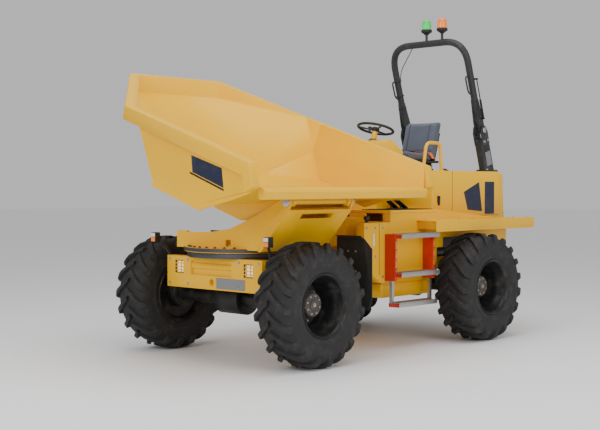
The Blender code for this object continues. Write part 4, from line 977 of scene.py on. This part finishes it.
def controls():
    """Dash with gauges and switches, steering wheel, levers, pedals and mat."""
    slope_low, slope_high = Vector((-0.86, 0, 1.93)), Vector((-0.66, 0, 2.05))
    along = (slope_high - slope_low).normalized()
    out = Vector((-along.z, 0, along.x))
    dash = Shape()
    first, last = slope_low + along * 0.015 + out * 0.0004, slope_high - along * 0.012 + out * 0.0004
    for edges in ((-0.255, -0.085), (0.085, 0.255)):
        dash.loft([[first + Y * y, last + Y * y, last + Y * y + out * 0.008, first + Y * y + out * 0.008]
                   for y in edges])
    dash.piece("dash_panels", "rear_chassis", PLASTIC, "black_plastic", 0.003)
    bezels, faces, needles = Shape(), Shape(), Shape()
    for y in (0.135, 0.210):
        centre = slope_low + along * 0.135 + out * 0.0088 + Y * y
        bezels.turned([(0.026, 0), (0.032, 0), (0.031, 0.007), (0.026, 0.006)], centre, out, 40)
        faces.turned([(0.0005, 0), (0.0262, 0), (0.0262, 0.002), (0.0005, 0.002)], centre, out, 40)
        needles.bar(centre + out * 0.003 - along * 0.006, centre + out * 0.003 + along * 0.019 + Y * 0.006,
                    0.0012, 8)
    bezels.piece("gauge_bezels", "rear_chassis", CHROME, "chromed_rod")
    faces.piece("gauge_faces", "rear_chassis", GAUGE, "black_plastic")
    needles.piece("gauge_needles", "rear_chassis", RED, "red_paint")
    switches = Shape()
    for i in range(4):
        centre = slope_low + along * 0.060 + out * 0.0088 + Y * (0.108 + 0.036 * i)
        near, far = centre - along * 0.014, centre + along * 0.014
        switches.loft([[near + Y * y, far + Y * y, far + Y * y + out * 0.004, near + Y * y + out * 0.008]
                       for y in (-0.009, 0.009)])
    key = slope_low + along * 0.10 + out * 0.0088 - Y * 0.205
    switches.turned([(0.001, 0), (0.017, 0), (0.017, 0.006), (0.012, 0.009), (0.001, 0.009)], key, out, 32)
    switches.bar(key + out * 0.009, key + out * 0.030, 0.0035, 10)
    switches.piece("rocker_switches_and_key", "rear_chassis", BLACK, "black_plastic", 0.001)

    wheel = Shape()
    side = Y
    up = STEERING_DIR.cross(side)
    loops = []
    for step in range(72):
        angle = 2 * pi * step / 72
        spoke = side * cos(angle) + up * sin(angle)
        loops.append([STEERING_HUB + spoke * (0.185 + 0.0145 * cos(turn))
                      + STEERING_DIR * 0.0135 * sin(turn) for turn in (2 * pi * k / 16 for k in range(16))])
    wheel.loft(loops, closed=True)
    for angle in (90, 210, 330):
        spoke = side * cos(radians(angle)) + up * sin(radians(angle))
        wheel.tube([STEERING_HUB + spoke * 0.020 - STEERING_DIR * 0.014,
                    STEERING_HUB + spoke * 0.11 - STEERING_DIR * 0.008,
                    STEERING_HUB + spoke * 0.180], 0.009, 0.03, 14)
    wheel.turned([(0.001, -0.028), (0.034, -0.028), (0.042, -0.010), (0.040, 0.006), (0.030, 0.014),
                  (0.001, 0.016)],
                 STEERING_HUB, STEERING_DIR, 40)
    spoke = side * cos(radians(150)) + up * sin(radians(150))
    knob = STEERING_HUB + spoke * 0.185 + STEERING_DIR * 0.013
    wheel.turned([(0.001, 0), (0.012, 0), (0.010, 0.012), (0.021, 0.024), (0.023, 0.038), (0.014, 0.048),
                  (0.001, 0.050)],
                 knob, STEERING_DIR, 32)
    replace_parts(wheel.piece("steering_wheel_rim", "steering_wheel", PLASTIC, "black_plastic"),
                "steering_wheel")

    levers, knobs = Shape(), Shape()
    for y, lean in ((-0.330, 0.03), (-0.385, -0.02)):
        levers.tube([(-1.13, y, 1.7305), (-1.12, y, 1.84), (-1.09 + lean, y, 1.93)], 0.006, 0.04, 12)
        levers.turned([(0.030, 0), (0.032, 0.008), (0.020, 0.026), (0.008, 0.034), (0.008, 0.0)],
                      (-1.13, y, HOOD_TOP), Z, 28)
        knobs.turned([(0.001, -0.020), (0.010, -0.018), (0.017, 0.0), (0.014, 0.016), (0.001, 0.021)],
                     (-1.088 + lean, y, 1.945), (0.3, 0, 1), 28)
    levers.piece("tip_and_swivel_levers", "rear_chassis", DARK_STEEL, "dark_steel")
    knobs.piece("lever_knobs", "rear_chassis", PLASTIC, "black_plastic")

    pedals = Shape()
    for y, wide in ((-0.34, 0.045), (0.34, 0.035), (0.46, 0.035)):
        pedals.loft([[(-0.66, y + w, 1.352), (-0.52, y + w, 1.430), (-0.515, y + w, 1.422),
                      (-0.655, y + w, 1.344)]
                     for w in (-wide, wide)])
        pedals.bar((-0.575, y, 1.3362), (-0.575, y, 1.392), 0.008, 14)
        for i in range(5):
            t = 0.15 + 0.17 * i
            x, z = -0.66 + 0.14 * t, 1.352 + 0.078 * t
            pedals.box((x - 0.003, y - wide * 0.85, z - 0.001), (x + 0.003, y + wide * 0.85, z + 0.0055))
    pedals.piece("foot_pedals", "rear_chassis", RUBBER, "black_rubber", 0.001)
    mat = Shape()
    mat_top, rib_pitch = DECK_TOP + 0.0045, 0.03
    for rear, front, right, left in ((-0.85, -0.62, -0.66, 0.66), (-0.62, -0.16, -0.66, -0.30),
                                     (-0.62, -0.16, 0.30, 0.66)):
        mat.box((rear, right, DECK_TOP), (front, left, mat_top))
        for i in range(int((left - right) / rib_pitch)):
            y = right + rib_pitch / 2 + rib_pitch * i
            mat.box((rear + 0.01, y - 0.004, mat_top - 0.0005), (front - 0.01, y + 0.004, mat_top + 0.0030))
    mat.piece("ribbed_floor_mat", "rear_chassis", RUBBER, "black_rubber", smooth=False)
    boot = Shape()
    head = STEERING_HUB - STEERING_DIR * 0.0305
    profile = []
    for i in range(6):
        profile += [(0.080 - 0.006 * i, -0.165 + 0.014 * i), (0.072 - 0.006 * i, -0.158 + 0.014 * i)]
    boot.turned([(0.030, -0.165)] + profile + [(0.030, -0.085)], head, STEERING_DIR, 40)
    boot.piece("steering_column_boot", "rear_chassis", RUBBER, "black_rubber")


def rail_pieces():
    """Smooth hand rails with bolted feet."""
    for side, label in ((1, "left"), (-1, "right")):
        y = side * 0.50
        foot = 1.7336
        rail = Shape().tube([(-0.90, y, foot), (-0.955, y, 2.02), (-1.19, y, 2.02), (-1.215, y, foot)],
                            0.017, 0.07, 24, 12)
        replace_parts(rail.piece("bent_handrail_" + label, "rear_chassis", YELLOW, "yellow_paint"),
                    "handrail_" + label)
        feet = Shape()
        for x in (-0.901, -1.215):
            feet.turned([(0.018, 0), (0.036, 0), (0.036, 0.006), (0.018, 0.008)], (x, y, HOOD_TOP), Z, 32)
            feet.bolts([(x + dx, y, 1.7364) for dx in (-0.027, 0.027)], Z, 0.005, 0.006)
        feet.piece("handrail_feet_" + label, "rear_chassis", YELLOW, "yellow_paint", 0.0008)


# Roll bar


def leg_point(z, y=0.0):
    """A point on the leaning centre line of the roll bar's legs."""
    share = (z - ROPS_BASE.z) / cos(ROPS_LEAN)
    return ROPS_BASE + Vector((sin(ROPS_LEAN), 0, cos(ROPS_LEAN))) * share + Y * y


def roll_bar_pieces():
    """A smooth hoop with its feet, pins, grab handles, harness and folding strut."""
    along = Vector((sin(ROPS_LEAN), 0, cos(ROPS_LEAN)))
    across = Vector((along.z, 0, -along.x))
    top = leg_point(HOOP_MIDDLE)
    hoop = Shape()
    hoop.tube([leg_point(2.27, ROPS_HALF), Vector((top.x, ROPS_HALF, top.z)),
               Vector((top.x, -ROPS_HALF, top.z)),
               leg_point(2.27, -ROPS_HALF)], HOOP_RADIUS, 0.26, 36, 22)
    for y in (0.0, BEACON_SPACING):
        hoop.bar((top.x, y, top.z + 0.02), (top.x, y, top.z + 0.10), 0.014)
    bar = hoop.piece("bent_hoop_tube", "roll_bar", CHARCOAL, "charcoal_paint")
    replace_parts(bar, "rops_hoop")
    feet = Shape()
    for side in (1, -1):
        y = side * ROPS_HALF
        outline = [ROPS_HINGE + along * 0.35 + across * 0.022, ROPS_HINGE + along * 0.35 - across * 0.022,
                   ROPS_HINGE + along * 0.10 - across * 0.05, ROPS_HINGE - across * 0.045 - along * 0.02,
                   ROPS_HINGE - across * 0.015 - along * 0.055, ROPS_HINGE + across * 0.015 - along * 0.055,
                   ROPS_HINGE + across * 0.045 - along * 0.02, ROPS_HINGE + along * 0.10 + across * 0.05]
        for low in (y - 0.035, y + 0.023):
            feet.prism([(p.x, p.z) for p in outline], 1, low, low + 0.012)
        feet.tube([leg_point(2.55, y), leg_point(2.55, y) + Vector((0.10, 0, 0.02)),
                   leg_point(2.75, y) + X * 0.10,
                   leg_point(2.75, y)], 0.009, 0.045, 16, 8)
    feet.piece("hoop_foot_plates", "roll_bar", CHARCOAL, "charcoal_paint", 0.002)

    for side, label in ((1, "left"), (-1, "right")):
        y = side * ROPS_HALF
        outer = y + side * 0.0592
        pins = Shape()
        pins.turned([(0.001, 0), (0.030, 0), (0.030, 0.006), (0.022, 0.012), (0.001, 0.012)],
                    ROPS_HINGE + Y * outer, Y * side, 32)
        pins.bolts([ROPS_HINGE - along * 0.12 + across * dx + Y * outer for dx in (-0.035, 0.035)],
                   Y * side, 0.011, 0.012)
        foot = leg_point(1.73, y)
        pins.bolts([(foot.x + dx, y + dy, 1.7484) for dx in (-0.082, 0.082) for dy in (-0.058, 0.058)], Z,
                   0.010, 0.012)
        pins.piece("roll_bar_pins_" + label, "rear_chassis", ZINC, "dark_steel", 0.001)
        plate = Shape()
        corners = [leg_point(1.80) + across * 0.045, leg_point(1.80) - across * 0.045,
                   leg_point(1.95) - across * 0.045,
                   leg_point(1.95) + across * 0.045]
        low, high = sorted((y + side * 0.0504, y + side * 0.0520))
        plate.prism([(p.x, p.z) for p in corners], 1, low, high)
        plate.piece("leg_grey_label_" + label, "rear_chassis", GREY_PLATE, "yellow_paint", smooth=False)

    strut = Shape()
    low, middle, high = (leg_point(z, 0.560) - across * 0.02 for z in (2.30, 2.50, 2.72))
    strut.bar(low, middle, 0.012)
    strut.bar(middle, high, 0.006)
    for point in (low, high):
        strut.bar(point - Y * 0.030, point + Y * 0.012, 0.010)
    strut.piece("fold_assist_strut", "roll_bar", BLACK, "black_paint", 0.0008)

    harness = Shape()
    for y in (0.0, BEACON_SPACING):
        harness.tube([(top.x - 0.012, y, top.z + 0.095), (top.x - 0.030, y - 0.01, top.z + 0.050),
                      (top.x - 0.036, y - 0.03, top.z + 0.010), (top.x - 0.030, y - 0.05,
                              top.z - 0.024)], 0.004, 0.02, 10)
    legs = [Vector((top.x, y, top.z)) - across * 0.0415 for y in (0.18, 0.0, -0.20)]
    legs += [leg_point(2.86, -0.458) - across * 0.0415, leg_point(2.70, -0.50) - across * 0.0415,
             leg_point(2.55, -0.50) - across * 0.0415, leg_point(2.40, -0.50) - across * 0.060]
    harness.tube(legs, 0.0045, 0.07, 10)
    harness.piece("beacon_harness", "roll_bar", HOSE, "black_rubber")
    ties = Shape()
    for z in (2.46, 2.60, 2.76):
        ties.turned([(0.0372, -0.003), (0.0480, -0.003), (0.0480, 0.003), (0.0372, 0.003)],
                    leg_point(z, -0.50), along, 28)
    ties.piece("harness_ties", "roll_bar", PLASTIC, "black_plastic")


def beacon(name, node, y, coat):
    """A ribbed lens on a black foot."""
    top = leg_point(HOOP_MIDDLE)
    low = Vector((top.x, y, top.z + 0.1003))
    foot = Shape()
    foot.turned([(0.001, 0), (0.024, 0), (0.030, 0.010), (0.056, 0.026), (0.0605, 0.034), (0.0605, 0.050),
                 (0.054, 0.056),
                 (0.001, 0.056)], low, Z, 56)
    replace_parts(foot.piece(name + "_foot", "roll_bar", PLASTIC, "black_plastic"), node)
    profile = [(0.001, 0.0563), (0.0535, 0.0563)]
    for i in range(7):
        z = 0.060 + 0.0105 * i
        profile += [(0.0545 - 0.0006 * i, z), (0.0525 - 0.0006 * i, z + 0.005)]
    profile += [(0.0500, 0.136), (0.044, 0.150), (0.030, 0.160), (0.014, 0.1645), (0.001, 0.165)]
    glass = Shape().turned(profile, low, Z, 56)
    glass.piece(name + "_lens", "roll_bar", coat, node.split("_")[1] + "_lens")


# Assembly

finish_fixed_parts()
wheel_pieces()
skip_trim()
swivel_trim()
ram_trim("tip_ram", SWIVEL @ TIP_RAM_BASE, SKIP @ TIP_RAM_EYE, 0.52, 0.045, 0.024)
ram_trim("steering_ram", MACHINE @ STEERING_RAM_BASE, MACHINE @ STEERING_RAM_EYE, 0.46, 0.03, 0.014)
front_trim()
hood_trim()
tank_trim()
valve_trim()
fender_trim()
door_trim()
step_trim()
seat()
controls()
rail_pieces()
roll_bar_pieces()
beacon("green_beacon", "beacon_green", 0.0, GREEN_LENS)
beacon("amber_beacon", "beacon_amber", BEACON_SPACING, AMBER_LENS)


# Stage


def stage_surface():
    """A wide pale floor."""
    floor_coat = Shader("pale_floor", (0.93, 0.93, 0.94), 0.6)
    mesh = bpy.data.meshes.new("floor")
    reach = 60.0
    mesh.from_pydata([(-reach, -reach, 0), (reach, -reach, 0), (reach, reach, 0), (-reach, reach, 0)], [],
                     [(0, 1, 2, 3)])
    mesh.materials.append(floor_coat.material)
    floor = bpy.data.objects.new("floor", mesh)
    bpy.context.scene.collection.objects.link(floor)


def lamp(name, place, aim, size, power):
    """A round soft lamp that points at a place."""
    light = bpy.data.lights.new(name, "AREA")
    light.shape = "DISK"
    light.size = size
    light.energy = power
    made = bpy.data.objects.new(name, light)
    bpy.context.scene.collection.objects.link(made)
    made.location = place
    made.rotation_euler = (Vector(aim) - Vector(place)).to_track_quat("-Z", "Y").to_euler()


def camera():
    """A three-quarter view from the machine's front left, near the deck's height."""
    view = bpy.data.cameras.new("three_quarter_view")
    view.sensor_width = 36.0
    view.lens = 67.8
    made = bpy.data.objects.new("three_quarter_view", view)
    bpy.context.scene.collection.objects.link(made)
    made.location = MACHINE @ Vector((8.419, 7.548, 1.563))
    made.rotation_euler = Vector((-0.7274, -0.6858, -0.0249)).to_track_quat("-Z", "Y").to_euler()
    bpy.context.scene.camera = made


stage_surface()
lamp("overhead_softbox", (1.5, 1.5, 8.0), (0, 0, 1.0), 7.0, 420)
lamp("front_softbox", (9.0, 1.0, 4.5), (0.5, 0, 1.2), 5.0, 260)
lamp("side_softbox", (2.0, 9.0, 4.0), (0, 0, 1.2), 5.0, 240)
world = bpy.data.worlds.new("studio_air")
world.use_nodes = True
air = world.node_tree.nodes["Background"]
air.inputs["Color"].default_value = (1.0, 1.0, 1.0, 1)
air.inputs["Strength"].default_value = 0.60
bpy.context.scene.world = world
camera()
